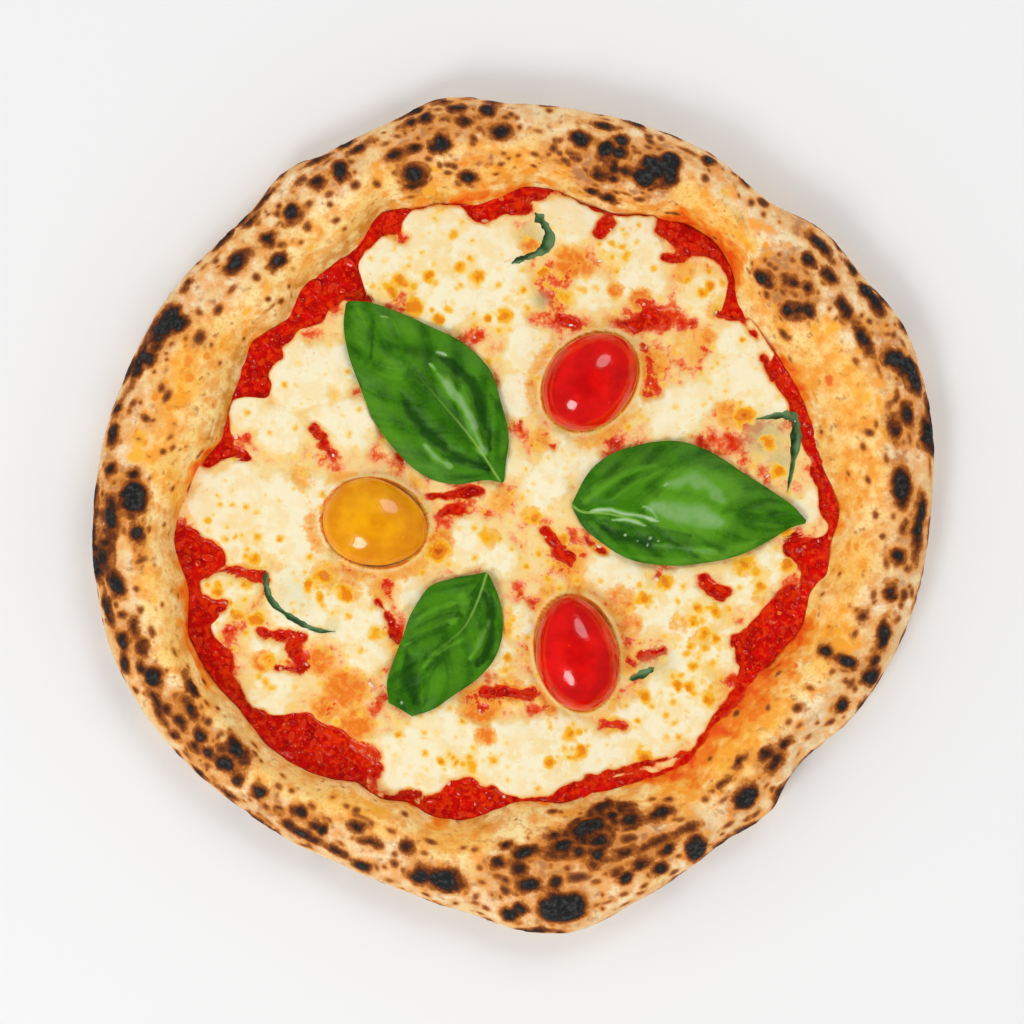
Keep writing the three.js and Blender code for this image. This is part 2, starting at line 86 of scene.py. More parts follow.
# Charred spots: degrees, distance, half length round the rim, half width across it.
BURNS = [
    (0.5, 133.5, 4, 2), (4.2, 127.5, 5.6, 3), (11.3, 139, 5, 2.8), (12.5, 127.8, 3.8, 1.8),
    (14, 141, 3.5, 1), (14.5, 133.8, 3, 1.6), (18.8, 138.5, 4.6, 3), (20.6, 138.2, 3.5, 3.6),
    (22.3, 134.8, 3.6, 3.8), (26.8, 128.3, 4.2, 1.6), (31.5, 137.6, 5.8, 2.3), (32, 127.8, 3.5, 1.8),
    (34.8, 117.2, 2, 1.6), (35.8, 114.8, 1.5, 2), (36.2, 137.8, 3, 1.3), (36.7, 112, 1.8, 2),
    (37.3, 129.8, 2.3, 1.2), (37.8, 121.3, 1.6, 1.3), (39.6, 119, 1.5, 1), (40.8, 127.7, 1.8, 1.4),
    (41.4, 134, 4.6, 2), (43.8, 112.3, 2.2, 2.2), (46.8, 136, 3.8, 0.9), (55.6, 133.5, 1.8, 1.5),
    (57, 133.6, 0.8, 1.2), (61.2, 133, 2, 2.1), (65.6, 122.6, 2.6, 3), (66.2, 126.2, 3.4, 3.4),
    (67.8, 122.5, 4.6, 3.6), (68.8, 118.2, 3.3, 3.4), (72, 118, 1.5, 1.5), (72.2, 134.6, 2.2, 1.6),
    (73.5, 114.3, 1.3, 1.5), (73.8, 108.7, 2, 1.2), (73.8, 122.8, 2.2, 1.9), (73.8, 135, 1.5, 1),
    (74, 127.8, 1.5, 1.3), (74.1, 117.4, 1.6, 1.5), (75.4, 114.5, 1.4, 1.4), (75.8, 123.4, 2.4, 2.6),
    (76.4, 109.3, 1.7, 1.6), (77.5, 131, 2.3, 0.9), (80, 124.6, 2.6, 2.3), (92, 125, 2.8, 2.2),
    (93.8, 133.2, 2.4, 2.6), (97, 129.8, 1.9, 1.3), (97.6, 112, 2.2, 2), (97.8, 134.7, 2.4, 1.3),
    (99.8, 137.8, 1.8, 0.9), (101, 124, 2.8, 2.8), (102.5, 133.5, 2.2, 2.5), (102.7, 123.3, 1.6, 1.8),
    (104.3, 137.3, 3.6, 0.8), (105, 124, 2.2, 1.2), (105, 133.5, 2.2, 1.3), (106.3, 116.7, 3.2, 3.2),
    (107, 113.2, 2, 1.5), (108.8, 123.8, 2, 1.3), (112.6, 130.4, 2.2, 0.9), (116.8, 126, 2.6, 3.6),
    (118.5, 133.4, 2.8, 0.8), (120.5, 127, 2, 1.7), (122.8, 129.8, 1.6, 0.7), (126.2, 122.6, 2.6, 2.5),
    (128.3, 132.5, 3, 0.9), (131.8, 121.4, 2.3, 2.4), (132, 129.8, 2.2, 0.8), (132.9, 113.5, 2.6, 2.1),
    (136.8, 132, 2.6, 1.1), (137.7, 123.3, 4.4, 2.2), (144.6, 131, 1.7, 0.9), (150.3, 126.5, 3.6, 2.6),
    (151.3, 130, 7.4, 4.2), (156.8, 130.5, 2.4, 2.6), (158, 133.3, 7, 1.9), (165.2, 135, 2.6, 1.4),
    (168.8, 134.2, 3.2, 2), (173.4, 132.5, 2, 1.6), (173.9, 124.8, 1.5, 2), (177.3, 124.3, 5.4, 4.2),
    (177.5, 137.6, 4.2, 1.4), (180, 131.5, 5, 3), (182.5, 138, 5.2, 1.8), (182.8, 123.3, 2.8, 1.6),
    (185.6, 135, 3.4, 2.6), (187, 138, 4.8, 2.2), (190, 132.3, 3.2, 2.8), (192.8, 137.6, 4.4, 2.3),
    (194.3, 132.6, 0.9, 1.1), (196.5, 129.3, 1.9, 1.2), (198, 134.6, 2.2, 1.7), (199.8, 128.4, 2.2, 1.4),
    (201, 136.6, 2.6, 1.6), (202.3, 131.6, 2.2, 1.6), (204.3, 129.6, 3, 2.6), (207.4, 132.3, 2, 0.8),
    (207.8, 119.6, 2.8, 1.2), (209.2, 130.3, 1.3, 1), (210, 133.2, 2, 0.7), (210.6, 123.5, 3, 2),
    (211.8, 128.7, 2.1, 1.6), (212.9, 133.2, 1.7, 1.6), (215.2, 125.6, 2.8, 2.2), (216.2, 129.7, 1.5, 1),
    (217.8, 127, 2.4, 1.6), (218.6, 122.6, 1.3, 1.2), (219, 134, 2.2, 0.7), (220.5, 118.7, 4.2, 2.4),
    (220.8, 124.8, 2.6, 2.2), (223.8, 126.2, 1.8, 2.2), (224, 131.7, 2.8, 1.1), (227.5, 124, 2.4, 2.3),
    (234.1, 119.8, 2.4, 1.5), (236.5, 125.3, 5, 1.7), (237.5, 120.8, 1.7, 1.3), (238.7, 121.3, 1.2, 1.8),
    (242.2, 125.2, 2, 1), (243.2, 114.6, 2.4, 1.3), (246.2, 116.8, 2.3, 1.4), (246.4, 125.5, 2.4, 1.5),
    (252, 114.2, 2.1, 2.2), (255.5, 121.7, 3.4, 3.2), (259.3, 121.7, 5.6, 4), (267.7, 113.9, 2.2, 1.5),
    (268.6, 108.3, 1.5, 1), (269.5, 130.5, 2.5, 2.8), (270.6, 115.4, 2.4, 1.5), (270.6, 128.8, 2.4, 1.7),
    (272, 110.2, 3.6, 1.8), (272.7, 121, 3.8, 2.2), (273.7, 136.9, 2.4, 0.9), (276.4, 120.6, 1.9, 1.8),
    (277, 129.7, 8, 5.6), (277.3, 106.3, 2.6, 1.3), (278.5, 109.5, 3, 2), (281, 112, 2, 1.5),
    (282.8, 117.6, 1.2, 0.9), (283.5, 105.5, 6, 3.6), (284, 113.8, 2, 2), (284.8, 110, 3, 2),
    (285.8, 121.6, 2.1, 1.5), (286.8, 101, 3.4, 2.4), (287.2, 124.2, 1.8, 1.6), (288, 104.5, 2, 2.6),
    (288, 116, 6, 1), (290.3, 103, 1.8, 1), (290.4, 121.4, 3, 1.5), (291, 107.2, 3.2, 2.6),
    (292.4, 125, 2.2, 1.9), (293, 116.6, 8, 0.9), (294.2, 131.5, 2.4, 1), (294.4, 120.6, 1.9, 1.1),
    (296, 109, 3, 1.4), (298.7, 125, 3.8, 4.6), (308, 111.5, 2, 0.9), (309.6, 119.6, 4.8, 3.5),
    (313, 109.2, 1.5, 0.6), (316.2, 118, 3, 1.4), (316.5, 113.7, 2.2, 1.7), (319.6, 116.2, 1.8, 1),
    (329.9, 124.2, 1.9, 1.9), (335.8, 129, 3.6, 3.6), (336.2, 111.8, 1.9, 1.9), (336.3, 119, 2, 3.2),
    (337.8, 127.3, 2, 1), (342, 127.5, 4.2, 2.4), (343.8, 119.3, 1.5, 0.9), (348.4, 126, 2.6, 2.2),
    (354, 127, 2.1, 2), (357.8, 138, 4.6, 1.9), (358, 132.8, 6.6, 2),
]
# Spots that only browned: the same.
SCORCHES = [
    (3, 133.5, 2, 1), (7, 137.8, 3, 0.8), (8.7, 123.3, 1.8, 1), (11, 132.3, 2, 0.8), (14, 122.3, 1.2, 0.7),
    (16, 128, 1.8, 0.8), (17.8, 131.8, 1.2, 0.7), (22, 128.5, 3, 0.8), (24, 139.5, 1.5, 0.7),
    (24.2, 122.8, 1.3, 0.9), (30.8, 125, 2, 1.2), (33.2, 123.6, 0.8, 0.8), (33.8, 107, 2.2, 1.4),
    (36.2, 123.2, 1, 0.8), (36.5, 109, 1, 0.6), (38, 116.8, 1, 1), (39.6, 124.2, 1.6, 0.6),
    (42.5, 123.3, 1, 0.8), (44.5, 117, 1, 1), (44.5, 121.5, 1, 1), (51.5, 131.3, 2.2, 2.3),
    (64.5, 132.5, 3.6, 0.6), (68.7, 133, 1.4, 1.4), (70.5, 132.5, 1.4, 1.4), (71, 111.5, 2, 0.6),
    (71.5, 125, 1.2, 1), (77, 133.8, 1.8, 0.6), (77.5, 114, 0.9, 0.9), (80.3, 119.6, 1.8, 0.8),
    (81.2, 115.8, 0.8, 0.8), (81.5, 119.5, 0.8, 0.8), (81.5, 126.5, 0.8, 0.8), (82.8, 119, 0.9, 1),
    (83.8, 123.2, 0.8, 0.8), (84.5, 118.3, 0.7, 0.7), (86.5, 126, 1.6, 0.7), (89.3, 117.5, 0.7, 0.7),
    (89.5, 130, 0.8, 0.8), (91.5, 118.3, 1, 0.9), (93, 112.3, 0.8, 0.6), (93.3, 127.8, 1, 0.8),
    (95.2, 127, 1, 0.9), (96.3, 122.2, 0.9, 0.8), (96.5, 138, 2.2, 0.9), (98.5, 125.7, 1, 0.8),
    (99.3, 132, 0.8, 0.8), (101, 114.3, 1.3, 0.9), (102, 117, 0.8, 1.2), (104.3, 127, 1, 1.2),
    (108, 110.3, 1.2, 0.7), (109, 128.7, 1.5, 0.6), (115.8, 119.8, 1.8, 1.6), (120, 121.2, 1.2, 0.8),
    (123.5, 122, 1.5, 1), (125.7, 116.5, 1, 0.7), (128, 113.5, 1, 0.7), (129, 122.8, 1.2, 0.6),
    (137.3, 114.8, 1.5, 1.4), (138.7, 107.5, 0.8, 1), (139, 129.5, 2, 0.5), (140.3, 105.2, 2, 0.6),
    (141.3, 118.3, 1.8, 0.9), (141.5, 130.3, 1.3, 0.6), (145.2, 117.8, 2, 1.3), (150.5, 118, 2.5, 1.8),
    (151.8, 122, 0.8, 0.8), (160.2, 122.7, 1.6, 1.2), (164.8, 130.6, 1.2, 0.8), (168.8, 113.9, 1, 0.8),
    (175.3, 107.5, 1.8, 1.4), (175.4, 131, 0.8, 0.7), (182.3, 119.5, 1, 1.2), (185, 124.3, 1.5, 0.7),
    (194.3, 126.3, 1.3, 0.7), (198, 124.3, 2, 1.1), (202, 120.2, 1.6, 0.8), (211.5, 118, 1.6, 0.9),
    (214, 120.8, 1.7, 1.8), (216.8, 119.6, 0.9, 1), (221.3, 131.5, 1.3, 0.6), (227.2, 128.2, 0.9, 0.7),
    (229, 117.7, 1, 0.7), (231.3, 129.3, 2, 0.8), (231.5, 123.8, 2.1, 1.8), (233, 126.5, 1.2, 1),
    (235.3, 116.3, 1.2, 1), (238, 128.8, 2.6, 0.8), (238.9, 117, 1.2, 0.7), (242.2, 111.4, 1.4, 0.7),
    (242.3, 122.3, 1.3, 0.7), (243, 111, 3, 0.6), (248.8, 111.2, 1.5, 0.7), (249.8, 123, 1, 0.8),
    (250.6, 117.8, 1.2, 1), (251.2, 126.5, 1.8, 0.7), (253.5, 128.3, 1.2, 0.5), (255.2, 114.5, 1.1, 0.7),
    (255.8, 110.2, 1.7, 0.9), (256.8, 128.2, 1, 0.7), (258.5, 129.8, 1, 0.8), (261.3, 110.2, 1.2, 0.9),
    (263.2, 110.4, 1.3, 0.9), (264.2, 128, 1.8, 0.8), (264.5, 115.8, 0.9, 0.8), (265, 120.6, 1.3, 0.7),
    (265.3, 131.8, 1.3, 0.6), (267.5, 118.2, 1.5, 1), (268.8, 122.8, 2, 1.5), (276, 115.5, 1, 1),
    (279.5, 113, 2.5, 1.5), (280, 120.2, 4.6, 1.7), (282.8, 123, 1.6, 1), (283.2, 137, 3, 1),
    (283.7, 130.5, 2.4, 0.5), (286.2, 129.3, 1.8, 1), (286.2, 133.3, 2, 0.7), (288.5, 130.7, 1.3, 0.8),
    (289.5, 112, 3, 2), (291.5, 132, 1.6, 0.8), (294.2, 128.5, 1.5, 1), (296, 104, 1, 0.7),
    (304.5, 123.7, 2, 0.7), (306.5, 115.9, 2, 0.8), (306.6, 128.2, 2, 0.8), (309, 126, 1.8, 1.1),
    (311.3, 110.9, 0.8, 0.6), (313, 121.7, 1.2, 0.6), (322.9, 112.6, 1.3, 1), (323, 121, 1.3, 0.9),
    (323.6, 116, 1.2, 0.6), (325.7, 112.4, 1.5, 1.2), (326.5, 123.3, 1.3, 0.8), (333.5, 123.3, 1.8, 0.7),
    (333.8, 116.2, 1.1, 0.8), (340.7, 118.2, 1.7, 0.9), (344.5, 117, 0.9, 1.2), (347.3, 134.9, 1.8, 0.9),
    (347.5, 120.8, 1.7, 0.9), (348.4, 130.5, 2.2, 2), (352.5, 131.7, 1.3, 0.7), (352.8, 123.3, 1.9, 1),
    (356.7, 121, 1.1, 1.2), (358, 127.6, 2.2, 1.3), (359.8, 124.3, 1, 0.8),
]
# Where the spots ran together: degrees, distance, half length, half width, amount.
SOOT = [
    (67.5, 120.5, 7, 6, 1), (283.5, 107, 9, 6, 1), (290, 106, 6, 5, 0.9), (277, 112, 5, 4, 0.7),
    (42, 114.5, 5, 4, 0.7), (36, 113.5, 5, 3, 0.8), (154, 131.5, 11, 4, 0.7), (184, 134, 16, 5, 0.7),
    (178, 125, 7, 4, 0.6), (76, 117, 6, 5, 0.6), (105.5, 116, 5, 4, 0.8), (221, 122, 7, 4, 0.5),
    (259, 122, 8, 4, 0.5), (20, 137, 7, 4, 0.6),
]
# Where the flame browned the skin between the spots: the same.
BROWNED = [
    (40, 117, 14, 9.5, 1), (46, 133, 8, 4, 0.6), (61, 131, 14, 3, 0.55), (68, 122, 10, 11, 1),
    (76, 118, 13, 10, 0.95), (84, 119, 6, 6, 0.5), (96, 130, 14, 8, 0.75), (103, 129, 12, 8, 0.8),
    (106.5, 116, 6, 6, 1), (97.5, 112, 4, 4, 0.6), (96, 117, 10, 3, 0.5), (118, 126, 7, 7, 0.6),
    (126, 122, 5, 4, 0.5), (132, 121, 5, 4, 0.5), (138, 123, 7, 4, 0.5), (151, 118, 5, 3, 0.5),
    (160, 122.5, 5, 3, 0.4), (152, 130, 11, 7, 0.7), (168, 134, 14, 3, 0.6), (177, 128, 12, 9, 0.8),
    (186, 134, 14, 5, 0.7), (197, 133, 12, 6, 0.6), (186, 124, 8, 2, 0.5), (205, 130, 8, 5, 0.7),
    (214, 127, 18, 8, 0.9), (221, 122, 8, 7, 0.8), (230, 125, 8, 6, 0.5), (236, 123, 10, 6, 0.7),
    (258, 122, 12, 6, 0.6), (268, 118, 8, 10, 0.6), (277, 128, 13, 9, 0.8), (275, 114, 12, 8, 0.85),
    (284, 110, 16, 10, 1), (290, 118, 16, 8, 0.9), (296, 109, 7, 4, 0.7), (299, 125, 6, 6, 0.6),
    (309, 120, 8, 5, 0.6), (316, 117, 6, 5, 0.5), (336, 122, 6, 9, 0.6), (341, 128, 10, 4, 0.5),
    (349, 128, 5, 6, 0.6), (357, 131, 12, 6, 0.6), (5, 128, 14, 5, 0.6), (14, 134, 12, 7, 0.6),
    (24, 135, 16, 7, 0.4),
]
# Where it turned golden: the same.
GOLDEN = [
    (8, 119, 18, 5, 0.6), (20, 116, 24, 9, 0.7), (5, 112, 16, 6, 0.6), (31, 119, 6, 8, 0.8),
    (39, 108, 12, 4, 0.7), (56, 117, 16, 5, 0.6), (66, 110, 7, 4, 0.7), (83, 118, 9, 8, 0.9),
    (92, 114, 12, 7, 0.8), (105, 109, 7, 5, 1), (147, 109, 10, 5, 0.7), (160, 119, 24, 8, 1),
    (170, 124, 8, 6, 1), (175, 112, 10, 5, 0.6), (188, 122, 12, 3, 0.6), (243, 109, 14, 4, 0.7),
    (260, 108, 14, 5, 0.5), (280, 103, 14, 4, 0.6), (300, 107, 12, 7, 0.9), (315, 106, 24, 7, 0.9),
    (340, 112, 14, 8, 0.9), (350, 112, 16, 7, 0.6),
]
# Where dry flour stayed on it: the same.
FLOURY = [
    (30, 139, 14, 4, 0.9), (36, 132, 9, 5, 0.5), (52, 128, 9, 3, 0.5), (70, 135.5, 20, 2, 0.7),
    (86, 132, 9, 3, 0.5), (114, 130, 7, 8, 0.6), (124, 135, 14, 2, 0.7), (145, 133, 14, 2, 0.6),
    (232, 129.5, 20, 2.5, 0.8), (248, 128, 20, 3, 0.7), (263, 130, 12, 3, 0.6), (302, 121, 5, 8, 0.7),
    (306, 126, 10, 4, 0.8), (323, 121, 20, 5, 1), (333, 121, 12, 6, 0.7), (340, 132, 20, 4, 0.8),
    (352, 131, 12, 5, 0.8), (2, 136, 12, 4, 0.6), (218, 115, 24, 2, 0.7), (302, 114, 3, 5, 0.6),
]
# Dabs of oil and sauce: degrees, distance, half length, half width, and tone from 1 golden to 3 red.
DABS = [
    (1, 112.8, 1.5, 0.7, 2), (2.2, 111.2, 1.2, 0.7, 2), (2.2, 113.8, 2.2, 0.9, 2),
    (6.7, 110.3, 3.2, 1, 2.5), (12.3, 124.3, 1.5, 1, 1.5), (14.3, 104.8, 1.6, 0.9, 2), (16.5, 107, 2, 1, 2),
    (17.5, 125, 3, 1, 1.5), (18.4, 121.5, 2, 1.9, 1), (19.8, 118.7, 0.8, 0.6, 1), (22, 102.8, 3, 0.5, 2),
    (22, 107, 3, 0.8, 2), (23.2, 112.8, 2.4, 1.9, 2.7), (24.8, 113, 2, 1, 2), (26.8, 118.3, 0.7, 0.5, 1),
    (27, 104.8, 3.5, 1.4, 3), (30.5, 120.8, 1.7, 2.4, 1.2), (31.6, 116.2, 1.6, 1.2, 1.4),
    (38.5, 101.3, 4, 0.4, 2), (38.7, 109.3, 1.3, 1.1, 1.5), (47, 121, 1.2, 1.6, 1.6), (50, 117, 5, 1.5, 1),
    (51, 114, 4, 2.2, 2.5), (53.5, 111.8, 4, 1.6, 3), (56.8, 126, 2, 1, 1), (57.5, 113, 4, 2, 3),
    (60, 111, 3, 2.4, 3), (61.5, 108.5, 2, 2, 3), (62.8, 110.5, 1.6, 1.6, 2), (82.5, 113, 2, 0.7, 2),
    (93.3, 109.7, 1.5, 0.9, 2), (93.5, 119, 1, 0.7, 2), (96, 117.5, 2.5, 0.8, 2.3),
    (96.8, 107.5, 1.5, 1, 2), (98.5, 116.5, 2, 0.8, 2.5), (98.6, 107, 1.2, 0.8, 3), (103, 116, 2, 1.5, 1.3),
    (104.8, 110.5, 1.8, 2.4, 1.3), (106.3, 108.3, 2.2, 1.6, 2), (109.5, 110.2, 1.5, 0.8, 2),
    (121.7, 110, 1.5, 0.8, 1.3), (127, 110.5, 1, 0.6, 1), (137.5, 110, 2, 0.6, 1.2),
    (142.5, 109.8, 1.5, 1, 1.2), (145.8, 106.7, 1.5, 1.2, 2), (149.8, 111, 3, 1.4, 1.5),
    (152.7, 113, 1.3, 1.4, 2), (152.7, 117, 1.3, 0.9, 2), (154.8, 117.8, 2, 1.8, 2.2),
    (156.5, 118.5, 1, 0.8, 2), (157.2, 115.3, 1.8, 1.9, 2), (159.5, 121.5, 2, 0.8, 2),
    (161.5, 121.8, 1.5, 0.8, 1.3), (161.8, 123.5, 1.6, 1.4, 2.2), (162.8, 118, 1.3, 1.2, 1.8),
    (165.3, 125.6, 1.8, 0.8, 2), (166.3, 101.8, 2.4, 0.6, 3), (168, 126.5, 2.2, 1, 2),
    (168.5, 125, 3, 2.4, 1), (168.8, 123.2, 1.3, 1.3, 1.8), (171, 125, 2.5, 3, 1.2),
    (172, 107.5, 3.5, 1.2, 1.8), (173.8, 117.5, 1.5, 1, 1.3), (177.5, 111.5, 4, 1.5, 1.4),
    (187, 124.3, 4, 0.6, 2.3), (190.8, 124.3, 1.5, 1, 1.2), (193, 120.3, 1.5, 0.8, 1),
    (203, 116, 8, 0.5, 1.3), (212.8, 112.8, 3, 0.5, 1.6), (242.5, 109.5, 2, 1, 1.3),
    (245, 107, 6, 1.2, 1.3), (255.5, 106, 2.5, 1.2, 1.8), (259, 111.6, 3, 0.5, 1.5),
    (291.5, 100, 1.5, 0.6, 2), (297, 98.7, 5, 0.8, 2), (301.5, 101.5, 2.5, 1.6, 3), (302, 110, 2, 1, 1.6),
    (303.3, 106, 2.4, 1.6, 2), (304, 100, 5, 1, 2.8), (306.3, 107.2, 2.4, 1, 2.6),
    (306.3, 110.5, 1.5, 1, 2), (309.8, 107.5, 2.2, 1.5, 1), (310, 99.5, 5, 1, 2.8), (310, 102, 2.4, 1.6, 3),
    (314, 111.5, 1.5, 0.8, 2), (316, 104.5, 1.5, 1.3, 1.3), (316.3, 107, 2, 1.3, 1.6),
    (317, 101.5, 2, 1.5, 2), (319.8, 100.5, 2.5, 1.8, 2.6), (319.8, 107.5, 1.4, 1, 2),
    (321, 108.5, 0.8, 0.7, 1.3), (322, 99.5, 2.5, 1, 2), (323.5, 108.2, 0.8, 0.7, 1.3),
    (324, 109.5, 0.7, 0.6, 1.3), (326, 101, 2, 1, 1.5), (327, 106.5, 1.3, 1, 1.5), (329.6, 108, 1.5, 1, 2),
    (330.8, 102.3, 3, 1.6, 3), (331.7, 104.5, 1.4, 2.2, 3), (335, 101, 4, 1.4, 2),
    (338.2, 115.5, 2.6, 4, 1.5), (339.7, 106.3, 2.5, 1.2, 1.6), (340.3, 113, 1.3, 2.2, 1.3),
    (341.5, 104.5, 2.5, 1.5, 1.6), (343.5, 111.2, 2, 0.6, 1.3), (354.7, 113, 1.8, 0.8, 2),
    (354.8, 110.8, 2.6, 1.2, 2),
]
# How far the sauce's orange oil crept up the rim.
OIL_CREEP = [
    (0, 2), (12, 1.2), (20, 3), (27, 5), (31, 2), (36, 0.8), (44, 1.5), (49, 6), (62, 5.5), (65, 1.5),
    (80, 1), (86, 3), (97, 4.5), (104, 1.5), (110, 3.5), (117, 2), (125, 0.8), (141, 0.8), (146, 2.5),
    (151, 1), (165, 1.8), (171, 3.5), (178, 2), (186, 1.5), (196, 3), (206, 3), (214, 1), (226, 1.5),
    (240, 0.8), (255, 3), (262, 1), (280, 2), (293, 2.5), (301, 8), (307, 9), (313, 7), (320, 10), (327, 8),
    (333, 9), (339, 5), (344, 1), (352, 1), (357, 2.5),
]
# How much painted shade, tan in tone, darkens the inner wall just over the sauce.
WALL_FOOT_SHADE = [
    (0, 0.2), (60, 0.1), (84, 0.4), (104, 0.7), (118, 0.9), (135, 0.8), (141, 0.5), (150, 1), (163, 0.9),
    (175, 0.9), (184, 0.4), (195, 0.7), (214, 0.3), (235, 0.25), (260, 0.4), (285, 0.5), (310, 0.3),
]
CRUST_SECTORS = 880
# Rows of points over the rim's section, from the floor of the pizza to its underside.
FLOOR_ROWS = 3
INNER_ROWS = 36
OUTER_ROWS = 34
UNDER_ROWS = 9
CREST_ROW = FLOOR_ROWS + INNER_ROWS
WIDEST_ROW = CREST_ROW + OUTER_ROWS
SMALL_BLISTERS = 230
SPARK_BURNS = 190
SMALL_SCORCHES = 520
noise_dice = np.random.default_rng(11)
NOISE_ORDER = noise_dice.permutation(1024)
NOISE_VALUES = noise_dice.uniform(-1, 1, 1024)


def blend(a, b, share):
    return a + (b - a) * share


def full_turn(count):
    """Even angles round the circle."""
    return 2 * np.pi * np.arange(count) / count


def points_at(x, y, z=0.0):
    """Points from their coordinates in mm."""
    return np.stack(np.broadcast_arrays(x, y, z), axis=-1)


def soft_step(value, low, high):
    """0 below low, 1 above high, and smooth between them."""
    share = np.clip((value - low) / (high - low), 0, 1)
    return share * share * (3 - 2 * share)


def smooth_curve(knots, places, period=0):
    """A smooth curve through (place, value) knots with no overshoot. With a period it closes on itself."""
    place, value = np.array(knots, float).T
    if period:
        place = np.append(place, place[0] + period)
        value = np.append(value, value[0])
        places = np.mod(places - place[0], period) + place[0]
    else:
        places = np.clip(places, place[0], place[-1])
    spans = np.diff(place)
    rises = np.diff(value) / spans
    before = np.append(rises[-1] if period else rises[0], rises)
    after = np.append(rises, rises[0] if period else rises[-1])
    steepest = 3 * np.minimum(np.abs(before), np.abs(after))
    slopes = np.where(before * after > 0, np.clip((before + after) / 2, -steepest, steepest), 0)
    i = np.clip(np.searchsorted(place, places, side="right") - 1, 0, len(spans) - 1)
    u = (places - place[i]) / spans[i]
    return (
        (2 * u**3 - 3 * u**2 + 1) * value[i]
        + (u**3 - 2 * u**2 + u) * slopes[i] * spans[i]
        + (3 * u**2 - 2 * u**3) * value[i + 1]
        + (u**3 - u**2) * slopes[i + 1] * spans[i]
    )


def round_curve(knots, turn):
    """The same for knots in degrees, read at angles in radians."""
    return smooth_curve(knots, np.degrees(turn), 360)


def mound(distance, radius):
    """A round mound that falls smoothly to nothing at its radius."""
    share = np.clip(distance / radius, 0, 1)
    return (1 - share**2) ** 2


def lumps(points, size, seed):
    """Soft random unevenness from -1 to 1, with lumps about `size` apart."""
    cells = points / size + 37.5 * seed
    low = np.floor(cells).astype(int)
    share = cells - low
    share = share**3 * (share * (share * 6 - 15) + 10)
    total = np.zeros(points.shape[:-1])
    for corner in np.ndindex(2, 2, 2):
        x, y, z = np.moveaxis((low + corner) & 1023, -1, 0)
        value = NOISE_VALUES[NOISE_ORDER[(NOISE_ORDER[(NOISE_ORDER[x] + y) & 1023] + z) & 1023]]
        total += value * np.prod(np.where(corner, share, 1 - share), axis=-1)
    return total


def polar(degrees, distance):
    return distance * np.cos(np.radians(degrees)), distance * np.sin(np.radians(degrees))


def spot_depth(points, spots):
    """How deep each point lies in the nearest spot: spots are a centre, a direction and two half sizes."""
    depth = np.full(len(points), -9.0)
    for centre, along, half_length, half_width in spots:
        near = np.flatnonzero(np.abs(points - centre).max(axis=1) < half_length + 9)
        offset = points[near] - centre
        lengthwise = offset @ along
        crosswise = np.sqrt(np.maximum((offset**2).sum(axis=1) - lengthwise**2, 0))
        reach = np.hypot(lengthwise / half_length, crosswise / half_width)
        depth[near] = np.maximum(depth[near], (1 - reach) * half_width)
    return depth


def zone_share(points, zones):
    """How much of a tint each point has, from degrees, distance, two half sizes and amount."""
    share = np.zeros(len(points))
    for degrees, distance, half_length, half_width, amount in zones:
        x, y = polar(degrees, distance)
        offset = points[:, :2] - (x, y)
        outward = np.array(polar(degrees, 1))
        crosswise = offset @ outward
        lengthwise = offset @ (-outward[1], outward[0])
        reach = np.hypot(lengthwise / half_length, crosswise / half_width)
        share = np.maximum(share, amount * (1 - soft_step(reach, 0.45, 1.25)))
    return share


def ring_normals(points):
    """Outward directions on a grid of sectors by rows that closes round the pizza."""
    round_way = np.roll(points, -1, axis=0) - np.roll(points, 1, axis=0)
    out_way = np.gradient(points, axis=1)
    normal = np.cross(out_way, round_way)
    return normal / np.maximum(np.linalg.norm(normal, axis=-1, keepdims=True), 1e-9)


def skin_mesh(name, points, faces, marks):
    """A smooth mesh from points in mm, with named values at its points."""
    mesh = bpy.data.meshes.new(name)
    mesh.from_pydata((points / 1000).tolist(), [], faces)
    mesh.shade_smooth()
    for mark, values in marks.items():
        mesh.attributes.new(mark, "FLOAT", "POINT").data.foreach_set("value", values.astype(np.float32))
    return mesh


def ring_mesh(name, points, marks):
    """A closed skin from a grid of sectors by rows, whose first and last rows meet in the middle."""
    sectors, rows = points.shape[:2]
    inner_rows = rows - 2
    body = points[:, 1:-1].reshape(-1, 3)
    every = np.concatenate([body, points[:1, 0], points[:1, -1]])
    top, bottom = len(body), len(body) + 1
    a = np.arange(sectors)[:, None] * inner_rows + np.arange(inner_rows - 1)
    b = np.roll(a, -1, axis=0)
    faces = np.stack([a, a + 1, b + 1, b], axis=-1).reshape(-1, 4).tolist()
    first = np.arange(sectors) * inner_rows
    last = first + inner_rows - 1
    faces += [(top, p, q) for p, q in zip(first.tolist(), np.roll(first, -1).tolist())]
    faces += [(bottom, q, p) for p, q in zip(last.tolist(), np.roll(last, -1).tolist())]
    kept = {}
    for mark, values in marks.items():
        values = values.reshape(sectors, rows)
        kept[mark] = np.concatenate([values[:, 1:-1].ravel(), values[:1, 0], values[:1, -1]])
    return skin_mesh(name, every, faces, kept)


def add_object(name, data):
    thing = bpy.data.objects.new(name, data)
    bpy.context.scene.collection.objects.link(thing)
    return thing


def place_piece(name, mesh, material, slot, *nodes):
    """Puts a finished mesh in the scene as a piece that takes the place of CAD nodes."""
    piece = add_object(name, mesh)
    mesh.materials.clear()
    mesh.materials.append(material)
    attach(piece, "root")
    if nodes:
        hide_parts(*nodes)


def wall_share(turn, level):
    """How far out on the inner wall a level is reached, from 0 at its foot to 1 on the crest."""
    climb = (level - FLOOR_Z) / (round_curve(CREST_HEIGHT, turn) - FLOOR_Z)
    return np.arcsin(climb ** (1 / round_curve(INNER_SLOPE, turn))) * 2 / np.pi


